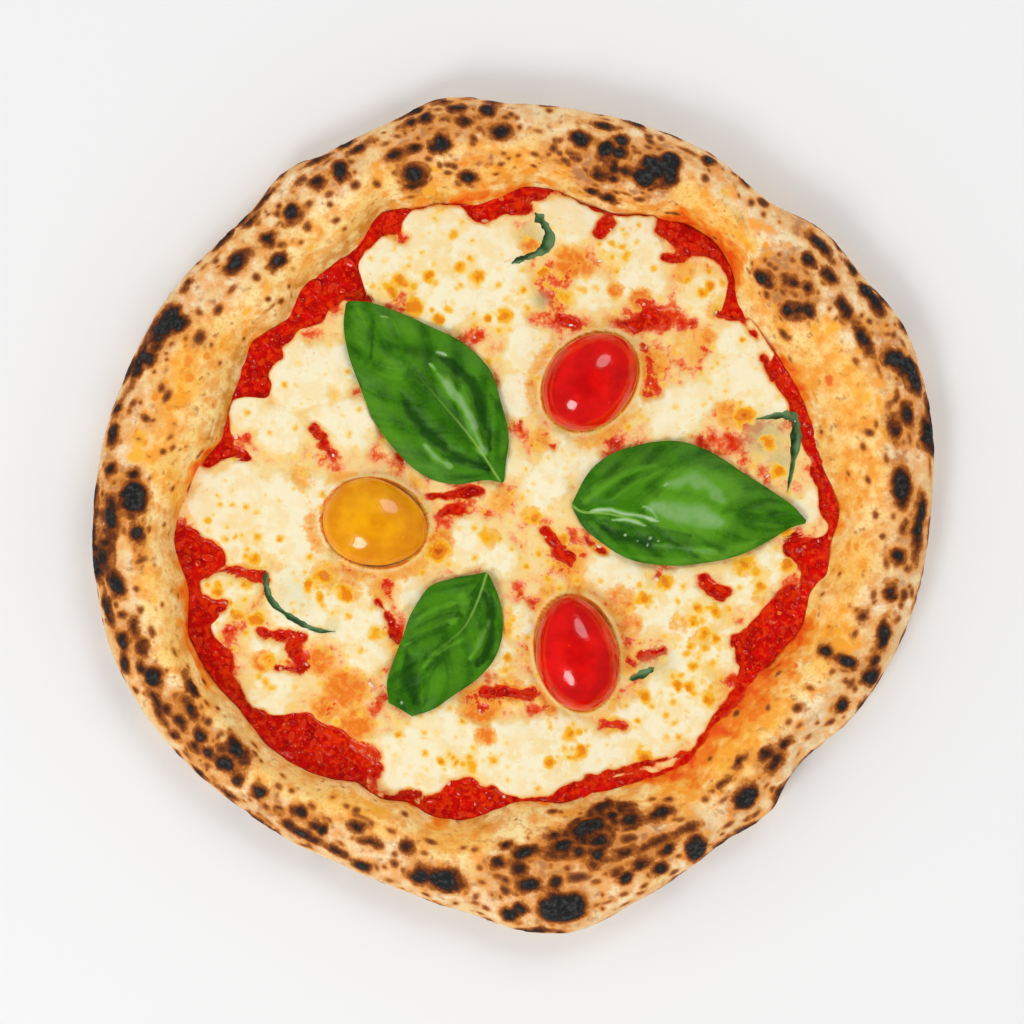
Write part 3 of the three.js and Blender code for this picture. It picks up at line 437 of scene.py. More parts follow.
def rim_foot(turn):
    """The foot of the inner wall, so placed that the wall meets the top of the sauce on INNER_EDGE."""
    rim_share = wall_share(turn, SAUCE_Z) * round_curve(CREST_PLACE, turn)
    return (round_curve(INNER_EDGE, turn) - rim_share * round_curve(OUTER_EDGE, turn)) / (1 - rim_share)


def rim_section(turn):
    """Radius, height and share of the blisters' height, for each angle and each row over the rim."""
    inner = rim_foot(turn)[:, None]
    outer = round_curve(OUTER_EDGE, turn)[:, None]
    crest = blend(inner, outer, round_curve(CREST_PLACE, turn)[:, None])
    top = round_curve(CREST_HEIGHT, turn)[:, None]
    widest = top * RIM_WIDEST_SHARE
    climb_share = np.arange(INNER_ROWS) / INNER_ROWS
    climb = np.sin(np.pi / 2 * climb_share) ** round_curve(INNER_SLOPE, turn)[:, None]
    over = np.pi / 2 * np.arange(OUTER_ROWS + 1) / OUTER_ROWS
    under = np.pi / 2 * np.arange(1, UNDER_ROWS + 1) / UNDER_ROWS
    radius = [
        blend(inner, crest, climb_share),
        blend(crest, outer, np.sin(over)),
        outer - RIM_FOOT_INSET * (1 - np.cos(under)),
    ]
    height = [blend(FLOOR_Z, top, climb), blend(widest, top, np.cos(over)), widest * (1 - np.sin(under))]
    share = [climb_share + 0 * inner, np.cos(over) + 0 * inner, 0 * under + 0 * inner]
    return [np.concatenate(parts, axis=1) for parts in (radius, height, share)]


def crust_points():
    turn = full_turn(CRUST_SECTORS)
    radius, height, share = rim_section(turn)
    inner = radius[:, :1]
    none = 0 * inner + [0] * FLOOR_ROWS
    radius = np.concatenate([inner * (0, 0.5, 0.94), radius, inner * (0.9, 0.4, 0)], axis=1)
    height = np.concatenate([none + FLOOR_Z, height, none], axis=1)
    share = np.concatenate([none, share, none], axis=1)
    return turn[:, None] + 0 * radius, radius, height, share


def along_rim(turn):
    return np.array((-math.sin(turn), math.cos(turn), 0))


def add_blisters(flat, dice):
    """How far the skin swells: the big blisters, small random ones, and less in the creases."""
    swell = np.zeros(flat.shape[:-1])
    for degrees, distance, size, rise in BLISTERS:
        apart = np.linalg.norm(flat - polar(degrees, distance), axis=-1)
        swell = np.maximum(swell, rise * mound(apart, size))
    for _ in range(SMALL_BLISTERS):
        degrees = dice.uniform(0, 360)
        place = dice.uniform(0.12, 0.97)
        size = 1.6 + 5 * dice.random() ** 2
        inner, outer = (round_curve(edge, np.radians([degrees]))[0] for edge in (INNER_EDGE, OUTER_EDGE))
        apart = np.linalg.norm(flat - polar(degrees, blend(inner, outer, place)), axis=-1)
        swell += dice.uniform(0.05, 0.13) * size * mound(apart, size)
    for from_degrees, from_distance, to_degrees, to_distance, half_width, depth in CREASES:
        start = np.array(polar(from_degrees, from_distance))
        along = np.array(polar(to_degrees, to_distance)) - start
        position = np.clip((flat - start) @ along / (along @ along), 0, 1)[..., None]
        swell -= depth * mound(np.linalg.norm(flat - start - position * along, axis=-1), half_width)
    return swell


def make_crust():
    turn, radius, height, share = crust_points()
    flat = np.stack([radius * np.cos(turn), radius * np.sin(turn)], axis=-1)
    dice = np.random.default_rng(5)
    height = height + share * add_blisters(flat, dice)
    points = np.concatenate([flat, height[..., None]], axis=-1)

    def on_skin(degrees, distance, half_length, half_width):
        """A listed spot, lifted to where it lies on the skin."""
        column = int(degrees * CRUST_SECTORS / 360) % CRUST_SECTORS
        seen = slice(FLOOR_ROWS, WIDEST_ROW - 4)
        z = np.interp(distance, radius[column, seen], height[column, seen])
        centre = np.array([*polar(degrees, distance), z])
        return centre, along_rim(math.radians(degrees)), half_length, half_width

    burns = [on_skin(*spot) for spot in BURNS]
    for _ in range(SPARK_BURNS):
        column = dice.integers(CRUST_SECTORS)
        row = CREST_ROW + dice.integers(27, 42)
        size = 0.6 + 2.2 * dice.random() ** 2.2
        burns.append((points[column, row], along_rim(turn[column, 0]), size * dice.uniform(1, 1.7), size))
    scorches = [on_skin(*spot) for spot in SCORCHES]
    while len(scorches) < len(SCORCHES) + SMALL_SCORCHES:
        column = dice.integers(CRUST_SECTORS)
        row = 10 + dice.integers(0, 52)
        brown_here = zone_share(points[column, row][None], BROWNED)[0]
        if dice.random() > 0.08 + 0.8 * brown_here + 0.2 * (row > CREST_ROW + 3):
            continue
        slant = dice.uniform(0, np.pi)
        size = 0.5 + 0.8 * dice.random() ** 1.5
        along = np.array((math.cos(slant), math.sin(slant), 0))
        scorches.append((points[column, row], along, size * dice.uniform(1, 2), size))
    dabs = [on_skin(*spot) for *spot, _ in DABS]
    listed = points.reshape(-1, 3)
    turn, radius, height = turn.ravel(), radius.ravel(), height.ravel()
    foot, outer = rim_foot(turn), round_curve(OUTER_EDGE, turn)
    wavy = 0.8 * lumps(listed, 3.8, 5) + 0.7 * lumps(listed, 2, 3) + 0.3 * lumps(listed, 1, 4)
    depth = spot_depth(listed, burns)
    burn = depth + wavy
    singed = burn + 3.4 * zone_share(listed, SOOT)
    burn = np.maximum(burn, np.minimum(singed, 1.1 * lumps(listed, 2, 11) - 0.3))
    scorch = spot_depth(listed, scorches) + 0.35 * wavy
    heart = soft_step(burn, 0.2, 1.4)

    relief = 0.75 * lumps(listed, 15, 6) + 0.4 * lumps(listed, 7, 7) + 0.16 * lumps(listed, 3, 8)
    relief += 0.45 * soft_step(depth, -0.6, 1)
    relief += heart * (0.3 * lumps(listed, 1.7, 9) + 0.16 * lumps(listed, 0.9, 10))
    # The rim is roughest on the lower right.
    right_below = mound(np.abs(np.degrees(turn) - 316), 36)
    relief += right_below * (0.9 * lumps(listed, 6, 12) + 0.35 * lumps(listed, 2.6, 13))
    edge = mound(np.abs(radius / outer - 1), 0.05)
    relief -= (0.4 + 1.2 * heart) * edge * soft_step(lumps(listed, 2.6, 20), 0, 0.8)
    beyond = radius - round_curve(INNER_EDGE, turn)
    loose = soft_step(height, 1.5, 5.5) * soft_step(beyond, -8, -2)
    relief *= np.maximum(loose, 0.9 * soft_step(height, 3.6, 7))
    skin = listed + ring_normals(points).reshape(-1, 3) * relief[:, None]
    # The outer edge stays inside OUTER_EDGE.
    reach = np.hypot(skin[:, 0], skin[:, 1])
    allowed = outer - 0.25
    ease = np.where(reach > allowed - 1, allowed - np.exp(-np.maximum(reach - allowed + 1, 0)), reach)
    skin[:, :2] *= (ease / np.maximum(reach, 1e-6))[:, None]
    skin[:, 2] = np.clip(skin[:, 2], 0, HIGHEST)

    browned = zone_share(listed, BROWNED)
    dab = np.full(len(listed), -4.0)
    dab_tone = np.ones(len(listed))
    shake = 0.5 * lumps(listed, 2.6, 18) + 0.3 * lumps(listed, 1.3, 19)
    for spot, (*_, tone_number) in zip(dabs, DABS):
        deep = spot_depth(listed, [spot]) + shake
        dab_tone = np.where(deep > dab, tone_number, dab_tone)
        dab = np.maximum(dab, deep)
    across = (radius - foot) / (outer - foot) + 0.12 * lumps(listed, 14, 16)
    creep = round_curve(OIL_CREEP, turn) * (1 + 0.7 * lumps(listed, 5, 14))
    row = np.tile(np.arange(points.shape[1]), CRUST_SECTORS)
    marks = {
        "burn": np.clip(burn, -6, 6),
        "browned": browned,
        "golden": zone_share(listed, GOLDEN),
        "floury": np.maximum(zone_share(listed, FLOURY), 0.8 * soft_step(radius / outer, 0.965, 1)),
        "scorch": np.clip(scorch, -4, 4),
        "dab": dab,
        "dab_tone": dab_tone,
        "oil": 1 - soft_step(beyond, 0.2 * creep, 1.3 * creep + 0.4),
        "unoiled": 1 - soft_step(creep, 1, 4),
        "smeared": 1 - soft_step(beyond + 0.5 * lumps(listed, 3.5, 15) - 0.12 * creep, -1.2, 0.7),
        "freckled": np.clip(0.15 + 0.85 * soft_step(across, 0.3, 0.75) + browned, 0, 1),
        # Painted shade low on the steep inner wall, fading out a few mm past the sauce's edge.
        "painted_wall_shade": round_curve(WALL_FOOT_SHADE, turn) * (1 - soft_step(beyond + 1.6 * lumps(listed, 8, 17), 1, 7)),
        "under": np.clip((row - WIDEST_ROW - 2) / 3, 0, 1),
    }
    return ring_mesh("crust_skin", skin.reshape(points.shape), marks)


def tone(code):
    """A colour from its everyday hexadecimal code."""
    parts = [int(code[i : i + 2], 16) / 255 for i in (0, 2, 4)]
    return (*[p / 12.92 if p <= 0.04045 else ((p + 0.055) / 1.055) ** 2.4 for p in parts], 1)


def fill_inputs(tree, node, inputs):
    """Sets a node's inputs by name or number, from plain values or from other nodes' outputs."""
    for name, value in inputs.items():
        if isinstance(value, bpy.types.NodeSocket):
            tree.links.new(value, node.inputs[name])
        else:
            node.inputs[name].default_value = value


def add_node(tree, kind, inputs, **settings):
    node = tree.nodes.new(kind if "Node" in kind else "ShaderNode" + kind)
    for name, value in settings.items():
        setattr(node, name, value)
    fill_inputs(tree, node, inputs)
    return node


def reckon(tree, operation, a, b):
    return add_node(tree, "Math", {0: a, 1: b}, operation=operation).outputs[0]


def plus(tree, value, other, share):
    """A value with a share of another added to it."""
    return reckon(tree, "ADD", value, reckon(tree, "MULTIPLY", other, share))


def stepped(tree, value, low, high, start=0.0, end=1.0):
    """A smooth step in a shader, from start at low to end at high."""
    inputs = {"Value": value, "From Min": low, "From Max": high, "To Min": start, "To Max": end}
    return add_node(tree, "MapRange", inputs, interpolation_type="SMOOTHSTEP").outputs[0]


def tint(tree, share, under, over, way="MIX"):
    """One colour laid over another."""
    return add_node(tree, "Mix", {0: share, 6: under, 7: over}, data_type="RGBA", blend_type=way).outputs[2]


def washed(tree, colour, value, *washes):
    """A colour under washes: each comes in as the value goes from low to high, up to its strength."""
    for low, high, strength, code in washes:
        colour = tint(tree, stepped(tree, value, low, high, 0, strength), colour, tone(code))
    return colour


def zoned(tree, colour, zone, value, steps, code):
    """A tint within a zone, as patchy there as a stepped value makes it."""
    share = reckon(tree, "MULTIPLY", zone, stepped(tree, value, *steps))
    return tint(tree, share, colour, tone(code))


def mottle(tree, place, size, detail=3.0, roughness=0.55, warp=0.0):
    """Soft random patches about `size` mm apart, from 0 to 1."""
    inputs = {"Scale": 1000 / size, "Detail": detail, "Roughness": roughness, "Distortion": warp}
    return add_node(tree, "TexNoise", {"Vector": place, **inputs}).outputs[0]


def mark(tree, name):
    return add_node(tree, "Attribute", {}, attribute_name=name).outputs["Fac"]


def new_finish(name):
    """A material with a Principled BSDF, and the piece's own coordinates."""
    material = bpy.data.materials.new(name)
    material.use_nodes = True
    tree = material.node_tree
    return material, tree, tree.nodes["Principled BSDF"], add_node(tree, "TexCoord", {}).outputs["Object"]


def raise_bumps(tree, skin, *layers):
    """Bumps too fine for the mesh: each layer is a height value and its depth in mm."""
    below = {}
    for value, depth in layers:
        bump = add_node(tree, "Bump", {"Height": value, "Distance": depth / 1000, **below})
        below = {"Normal": bump.outputs[0]}
    fill_inputs(tree, skin, below)


def new_group(name, kind, inputs, output, output_kind):
    """A node group with named sockets, what comes into it, and where its result goes."""
    group = bpy.data.node_groups.new(name, kind)
    for socket, socket_kind in inputs.items():
        group.interface.new_socket(socket, in_out="INPUT", socket_type="NodeSocket" + socket_kind)
    group.interface.new_socket(output, in_out="OUTPUT", socket_type="NodeSocket" + output_kind)
    return group, group.nodes.new("NodeGroupInput").outputs, group.nodes.new("NodeGroupOutput").inputs


def speck_group():
    """Scattered round specks of uneven size, as the oven's sparks leave on dough and cheese alike."""
    sockets = {"Place": "Vector", "Spacing": "Float", "Largest": "Float", "Fewness": "Float"}
    group, inside, result = new_group("toasted_specks", "ShaderNodeTree", sockets, "Depth", "Float")
    wobble = add_node(group, "TexNoise", {"Vector": inside["Place"], "Scale": 900.0, "Detail": 2.0})
    wobble = wobble.outputs["Color"]
    wobble = add_node(group, "VectorMath", {0: wobble, 1: (0.5, 0.5, 0.5)}, operation="SUBTRACT").outputs[0]
    wobble = add_node(group, "VectorMath", {0: wobble, "Scale": 0.0011}, operation="SCALE").outputs[0]
    shaken = add_node(group, "VectorMath", {0: inside["Place"], 1: wobble}, operation="ADD").outputs[0]
    scale = reckon(group, "DIVIDE", 1000.0, inside["Spacing"])
    cells = add_node(group, "TexVoronoi", {"Vector": shaken, "Scale": scale})
    chance = add_node(group, "SeparateColor", {0: cells.outputs["Color"]}).outputs[0]
    size = reckon(group, "MULTIPLY", reckon(group, "POWER", chance, inside["Fewness"]), inside["Largest"])
    away = reckon(group, "MULTIPLY", cells.outputs["Distance"], inside["Spacing"])
    group.links.new(reckon(group, "SUBTRACT", size, away), result["Depth"])
    return group


toasted_specks = speck_group()


def specks(tree, place, spacing, largest, fewness):
    """How deep in a speck a point is, in mm."""
    inputs = {"Place": place, "Spacing": spacing, "Largest": largest, "Fewness": fewness}
    return add_node(tree, "Group", inputs, node_tree=toasted_specks).outputs["Depth"]


def dough_finish():
    material, tree, skin, place = new_finish("baked_dough")
    broad, soft = mottle(tree, place, 12, 3, 0.5), mottle(tree, place, 4.6, 3, 0.5)
    fine, grain = mottle(tree, place, 2.2, 3, 0.55), mottle(tree, place, 1.1, 3, 0.6)
    browned, freckled = mark(tree, "browned"), mark(tree, "freckled")
    colour = washed(tree, tone("FDEBC2"), broad, (0.36, 0.64, 1, "F8D28C"))
    colour = zoned(tree, colour, mark(tree, "golden"), soft, (0.3, 0.6, 0.4, 1), "FFB22E")
    warm = plus(tree, soft, reckon(tree, "ADD", freckled, browned), 0.06)
    colour = washed(tree, colour, warm, (0.42, 0.74, 0.85, "F29A36"))
    colour = washed(tree, colour, grain, (0.46, 0.76, 0.5, "DC8A2E"))
    colour = zoned(tree, colour, browned, fine, (0.3, 0.62, 0.35, 0.9), "D67C22")
    dark = plus(tree, plus(tree, mottle(tree, place, 3.4, 3, 0.5), browned, 0.2), freckled, 0.04)
    colour = washed(tree, colour, dark, (0.58, 0.8, 0.9, "A8540E"))
    colour = zoned(tree, colour, mark(tree, "floury"), soft, (0.34, 0.6, 0.35, 0.85), "DDBD8C")
    # Painted shade, tan in tone, low on the inner wall over the sauce.
    colour = zoned(tree, colour, mark(tree, "painted_wall_shade"), soft, (0.36, 0.6, 0.24, 0.8), "C4862A")
    colour = tint(tree, stepped(tree, freckled, 0.95, 0.2), colour, (1.05, 0.99, 0.7, 1), "MULTIPLY")
    colour = washed(tree, colour, freckled, (0.3, 1, 0.22, "ECC894"))

    # Oil: golden to red dabs, the orange line over the sauce, and the sauce's own smears.
    dab = plus(tree, mark(tree, "dab"), reckon(tree, "SUBTRACT", fine, 0.5), 2.4)
    dab_colour = washed(
        tree, tone("FABA34"), mark(tree, "dab_tone"), (1, 1.9, 1, "F28E1C"), (2, 2.9, 1, "EE4A10")
    )
    colour = washed(tree, colour, dab, (-1.2, 0.3, 0.6, "FFBE56"))
    colour = tint(tree, stepped(tree, dab, -0.5, 0.8, 0, 0.85), colour, dab_colour)
    oil = plus(tree, mark(tree, "oil"), reckon(tree, "SUBTRACT", soft, 0.5), 2.2)
    oil = plus(tree, oil, mark(tree, "unoiled"), -1.1)
    colour = washed(
        tree, colour, oil,
        (0.05, 0.5, 0.85, "FBA536"), (0.5, 0.85, 0.85, "F47A16"), (0.9, 1.25, 0.8, "EE4A0A"),
    )
    smeared = plus(tree, mark(tree, "smeared"), fine, 0.9)
    colour = washed(tree, colour, smeared, (1.05, 1.5, 1, "D02404"))

    # Small spots that only browned, soft at the edge.
    grain = reckon(tree, "SUBTRACT", grain, 0.5)
    scorch = plus(tree, mark(tree, "scorch"), grain, 0.5)
    colour = washed(
        tree, colour, scorch,
        (-1.2, -0.2, 0.6, "E68C26"), (-0.5, 0.3, 0.92, "984E18"), (0.2, 1, 0.9, "5E2E12"),
    )

    # Charred spots: an orange halo, a brown ring and a charcoal heart.
    burn = plus(tree, mark(tree, "burn"), grain, 1.6)
    colour = washed(
        tree, colour, burn, (-2.8, -1.1, 0.7, "E08C34"), (-1.5, -0.7, 0.9, "9C5010"),
        (-0.75, 0.05, 1, "6C320A"), (0.05, 0.65, 1, "3A1E10"),
    )
    ash = washed(tree, tone("1E1D1C"), mottle(tree, place, 1.6, 4, 0.6), (0.42, 0.68, 1, "3C3E3D"))
    colour = tint(tree, stepped(tree, burn, 0.6, 1.3), colour, ash)

    # The underside, which lay on the oven's floor.
    leopard = specks(tree, place, 13, 5.2, 1.6)
    sole = washed(tree, tone("E3C391"), leopard, (-2.2, 0.8, 1, "A8642F"), (0.4, 2.2, 1, "3B2013"))
    sole = washed(tree, sole, mottle(tree, place, 1.8, 4), (0.5, 0.75, 0.4, "F2E2C2"))
    colour = tint(tree, mark(tree, "under"), colour, sole)
    oily = stepped(tree, oil, 0.05, 0.5)
    fill_inputs(tree, skin, {
        "Base Color": colour, "Roughness": stepped(tree, oily, 0, 1, 0.72, 0.4), "Specular IOR Level": 0.2,
        "Subsurface Weight": 0.06, "Subsurface Radius": (0.004, 0.0025, 0.0012),
    })
    raise_bumps(tree, skin, (mottle(tree, place, 3.2, 3, 0.5), 0.5), (mottle(tree, place, 1, 2, 0.5), 0.12))
    return material


place_piece("crust_skin", make_crust(), dough_finish(), "baked_dough", "crust")

# ---- Tomato sauce ----
# Crushed peeled tomatoes, ladled on raw and spread to the rim with the back of the spoon. It stays wet and
# lumpy with bits of pulp, and its oil stains the dough round it.

SAUCE_SECTORS = 640
# How high it laps up the crust's wall.
SHORE_Z = SAUCE_Z + 0.3


def wall_radius(turn, level):
    """Where the crust's inner wall stands at a level."""
    inner = rim_foot(turn)
    crest = blend(inner, round_curve(OUTER_EDGE, turn), round_curve(CREST_PLACE, turn))
    return blend(inner, crest, wall_share(turn, level))


def make_sauce():
    turn = full_turn(SAUCE_SECTORS)[:, None]
    shore = wall_radius(turn, SHORE_Z)
    share = np.concatenate([np.linspace(0, 0.7, 44, endpoint=False), np.linspace(0.7, 1, 38)])
    radius = np.concatenate([shore * share, shore - 0.6, shore * 0.5, shore * 0], axis=1)
    flat = points_at(radius * np.cos(turn), radius * np.sin(turn))
    pulp = 0.4 * lumps(flat, 5.2, 21) + 0.4 * lumps(flat, 2.6, 22) + 0.2 * np.abs(lumps(flat, 1.4, 23))
    height = SAUCE_Z - 0.2 + pulp + 0.5 * soft_step(radius, shore - 4, shore)
    height[:, -3:] = FLOOR_Z + 0.3
    return ring_mesh("tomato_sauce_layer", flat + points_at(0, 0, height), {"pulp": pulp})


def pulp_group():
    """The red of crushed tomato with small orange specks, for bare sauce and for sauce seen through cheese.
    """
    sockets = {"Place": "Vector"}
    group, inside, result = new_group("crushed_tomato_red", "ShaderNodeTree", sockets, "Colour", "Color")
    place = inside["Place"]
    colour = washed(group, tone("B40200"), mottle(group, place, 4, 4, 0.6, 0.8), (0.38, 0.62, 1, "DC0A00"))
    colour = washed(group, colour, mottle(group, place, 1.9, 3, 0.6), (0.48, 0.64, 0.85, "EE3C06"))
    colour = washed(group, colour, specks(group, place, 4.2, 0.85, 2.6), (-0.1, 0.25, 0.8, "F08038"))
    group.links.new(colour, result["Colour"])
    return group


crushed_tomato_red = pulp_group()


def tomato_red(tree, place):
    return add_node(tree, "Group", {"Place": place}, node_tree=crushed_tomato_red).outputs["Colour"]


def sauce_finish():
    material, tree, skin, place = new_finish("crushed_tomato")
    fill_inputs(tree, skin, {
        "Base Color": washed(tree, tomato_red(tree, place), mark(tree, "pulp"), (0.3, 0.9, 0.5, "E83808")),
        "Roughness": 0.14, "Specular IOR Level": 0.3, "Coat Weight": 0.25, "Coat Roughness": 0.05,
    })
    raise_bumps(tree, skin, (mottle(tree, place, 1.5, 2, 0.5), 0.35))
    return material


place_piece("tomato_sauce_layer", make_sauce(), sauce_finish(), "tomato_sauce", "tomato_sauce")

# ---- Mozzarella ----
# Torn pieces of fresh mozzarella that melted into one sheet. It is thick where a piece lay, thin and pink
# with sauce between them, open here and there, and toasted in small golden blisters.

CHEESE_SECTORS = 760
CHEESE_RINGS = 124
# How far the cheese ran at the surface. Where it ran up to the crust no sauce shows.
CHEESE_SHORE = [
    (0, 101.5), (3, 101), (5, 100.5), (8, 99.5), (10, 100), (12, 99), (15, 98), (18, 98), (20, 99.5),
    (22, 99.5), (25, 98.5), (28, 97.5), (30, 98), (31, 99.5), (32, 101), (38, 101), (40, 101.5), (42, 99.5),
    (44, 97), (46, 101), (47, 104), (49, 107), (51, 108), (53, 107.5), (55, 106), (57, 105), (59, 104),
    (61, 104), (63, 108), (65, 109.5), (67, 108), (70, 105), (72, 105), (75, 104), (78, 105.5), (80, 107),
    (83, 108.5), (85, 108.5), (87, 107.5), (88, 105), (90, 101), (92, 100.5), (95, 98), (97, 97.5),
    (98, 99), (99, 102), (100, 105), (103, 105.5), (106, 106), (108, 106), (110, 104.5), (111, 103),
    (112, 101), (114, 101.5), (116, 101), (118, 100.5), (120, 99.5), (122, 97), (123, 92), (124, 88),
    (126, 88.5), (128, 90), (130, 91), (132, 92), (134, 90), (136, 91), (138, 93), (140, 94), (142, 95),
    (144, 95), (146, 93.5), (148, 94.5), (150, 93.5), (152, 91), (154, 90.5), (155, 91.5), (156, 96),
    (157, 99), (158, 100), (160, 100), (162, 99), (164, 98), (166, 96), (167.5, 93.5), (169, 97),
    (170, 103), (172, 107), (175, 110), (178, 112), (180, 113), (182, 110), (183, 107), (184, 104),
    (185, 102.5), (186, 101.5), (188, 101), (190, 100.5), (191, 103), (192, 106), (194, 107), (196, 106.5),
    (197, 105), (198, 103), (199, 103), (200, 106.5), (202, 107), (204, 106), (206, 104.5), (208, 106),
    (210, 109), (212, 109), (214, 108.5), (216, 108), (218, 106.5), (220, 103), (221, 101), (222, 98),
    (225, 94), (228, 94), (230, 93), (232, 93.5), (235, 95.5), (237, 95), (239, 96), (240, 98), (241, 101),
    (242, 103), (244, 103), (246, 102.5), (248, 100), (250, 99.5), (252, 100.5), (254, 101), (256, 99),
    (257, 96), (258, 93), (260, 91.5), (262, 92.5), (264, 94.5), (266, 92.5), (268, 93), (270, 94),
    (272, 94.5), (275, 94), (278, 93.5), (280, 92), (282, 92.5), (288, 93), (292, 93.5), (294, 94),
    (296, 95), (298, 96.5), (300, 98), (302, 98.5), (306, 98.5), (308, 97.5), (310, 96.5), (312, 95.5),
    (314, 94), (316, 93.5), (320, 94.5), (322, 94), (324, 92.5), (326, 90), (328, 86.5), (330, 84.5),
    (332, 84.5), (334, 85.5), (336, 86.5), (338, 88), (340, 89), (342, 91.5), (343, 95), (344, 98.5),
    (346, 97.5), (347, 99), (348, 97.5), (350, 96), (351, 94.5), (353, 91.5), (354, 92), (355, 96),
    (356, 102), (358, 104),
]
FILM_THICKNESS = 1
FILM_TOP = 1.6
MELT_THICKNESS = 3.1
BARE = -0.7
# Pieces that stayed thick and white: x, y, radius.
MELTS = [
    (-45.9, 82.5, 9.9), (-27.7, 91.4, 13.2), (-9.6, 85.8, 11.9), (-22.8, 71, 9.9), (-3, 71, 9.2),
    (18.5, 99, 9.2), (38.9, 92.4, 10.6), (41.6, 79.2, 7.3), (25.1, 74.2, 5.3), (5.3, 53.8, 8.6),
    (0.3, 39.6, 5.9), (61.4, 73.6, 6.6), (76.2, 56.1, 9.9), (82.8, 42.9, 10.6), (72.9, 46.2, 9.2),
    (53.1, 33, 8.6), (61.4, 39.6, 5.3), (-70.6, 46.2, 11.9), (-87.1, 34, 7.3), (-59.1, 49.5, 8.6),
    (-55.8, 29.7, 9.2), (-75.6, 28.1, 7.9), (-94.4, 3.3, 13.2), (-75.6, 0, 12.5), (-90.4, -13.2, 8.6),
    (-64.7, 5, 7.9), (-67.3, -11.6, 9.2), (-95.4, -24.8, 7.9), (-99.7, -35.3, 3.6), (-70.6, -28.1, 11.2),
    (-54.1, -32, 9.9), (-80.5, -57.8, 7.9), (-83.2, -41.2, 5.3), (-49.2, -46.2, 5.9), (-35, -26.1, 4.6),
    (-32.7, -80.9, 11.9), (-17.8, -76.9, 11.2), (-3, -82.5, 12.5), (15.2, -78.2, 12.5), (-24.4, -67.7, 8.6),
    (-14.5, -9.9, 7.9), (-4.6, -13.2, 5.9), (10.2, 9.9, 7.3), (-0.7, 18.2, 4.6), (35, -18.2, 9.2),
    (58.1, -29.7, 11.2), (44.9, -33, 7.3), (58.1, -47.9, 7.9), (54.8, -61.1, 12.5), (43.2, -71, 11.2),
    (28.4, -82.5, 8.6), (69.6, -44.6, 7.3), (76.2, -24.8, 6.6), (84.5, -18.2, 5.3), (96, 1.7, 5.3),
    (15.2, 18.2, 6.6), (2, -34.6, 4.6), (-4.6, -44.6, 5.3), (25.1, 14.9, 5.9), (44.9, 38, 4.6),
    (2, -57.8, 4),
]
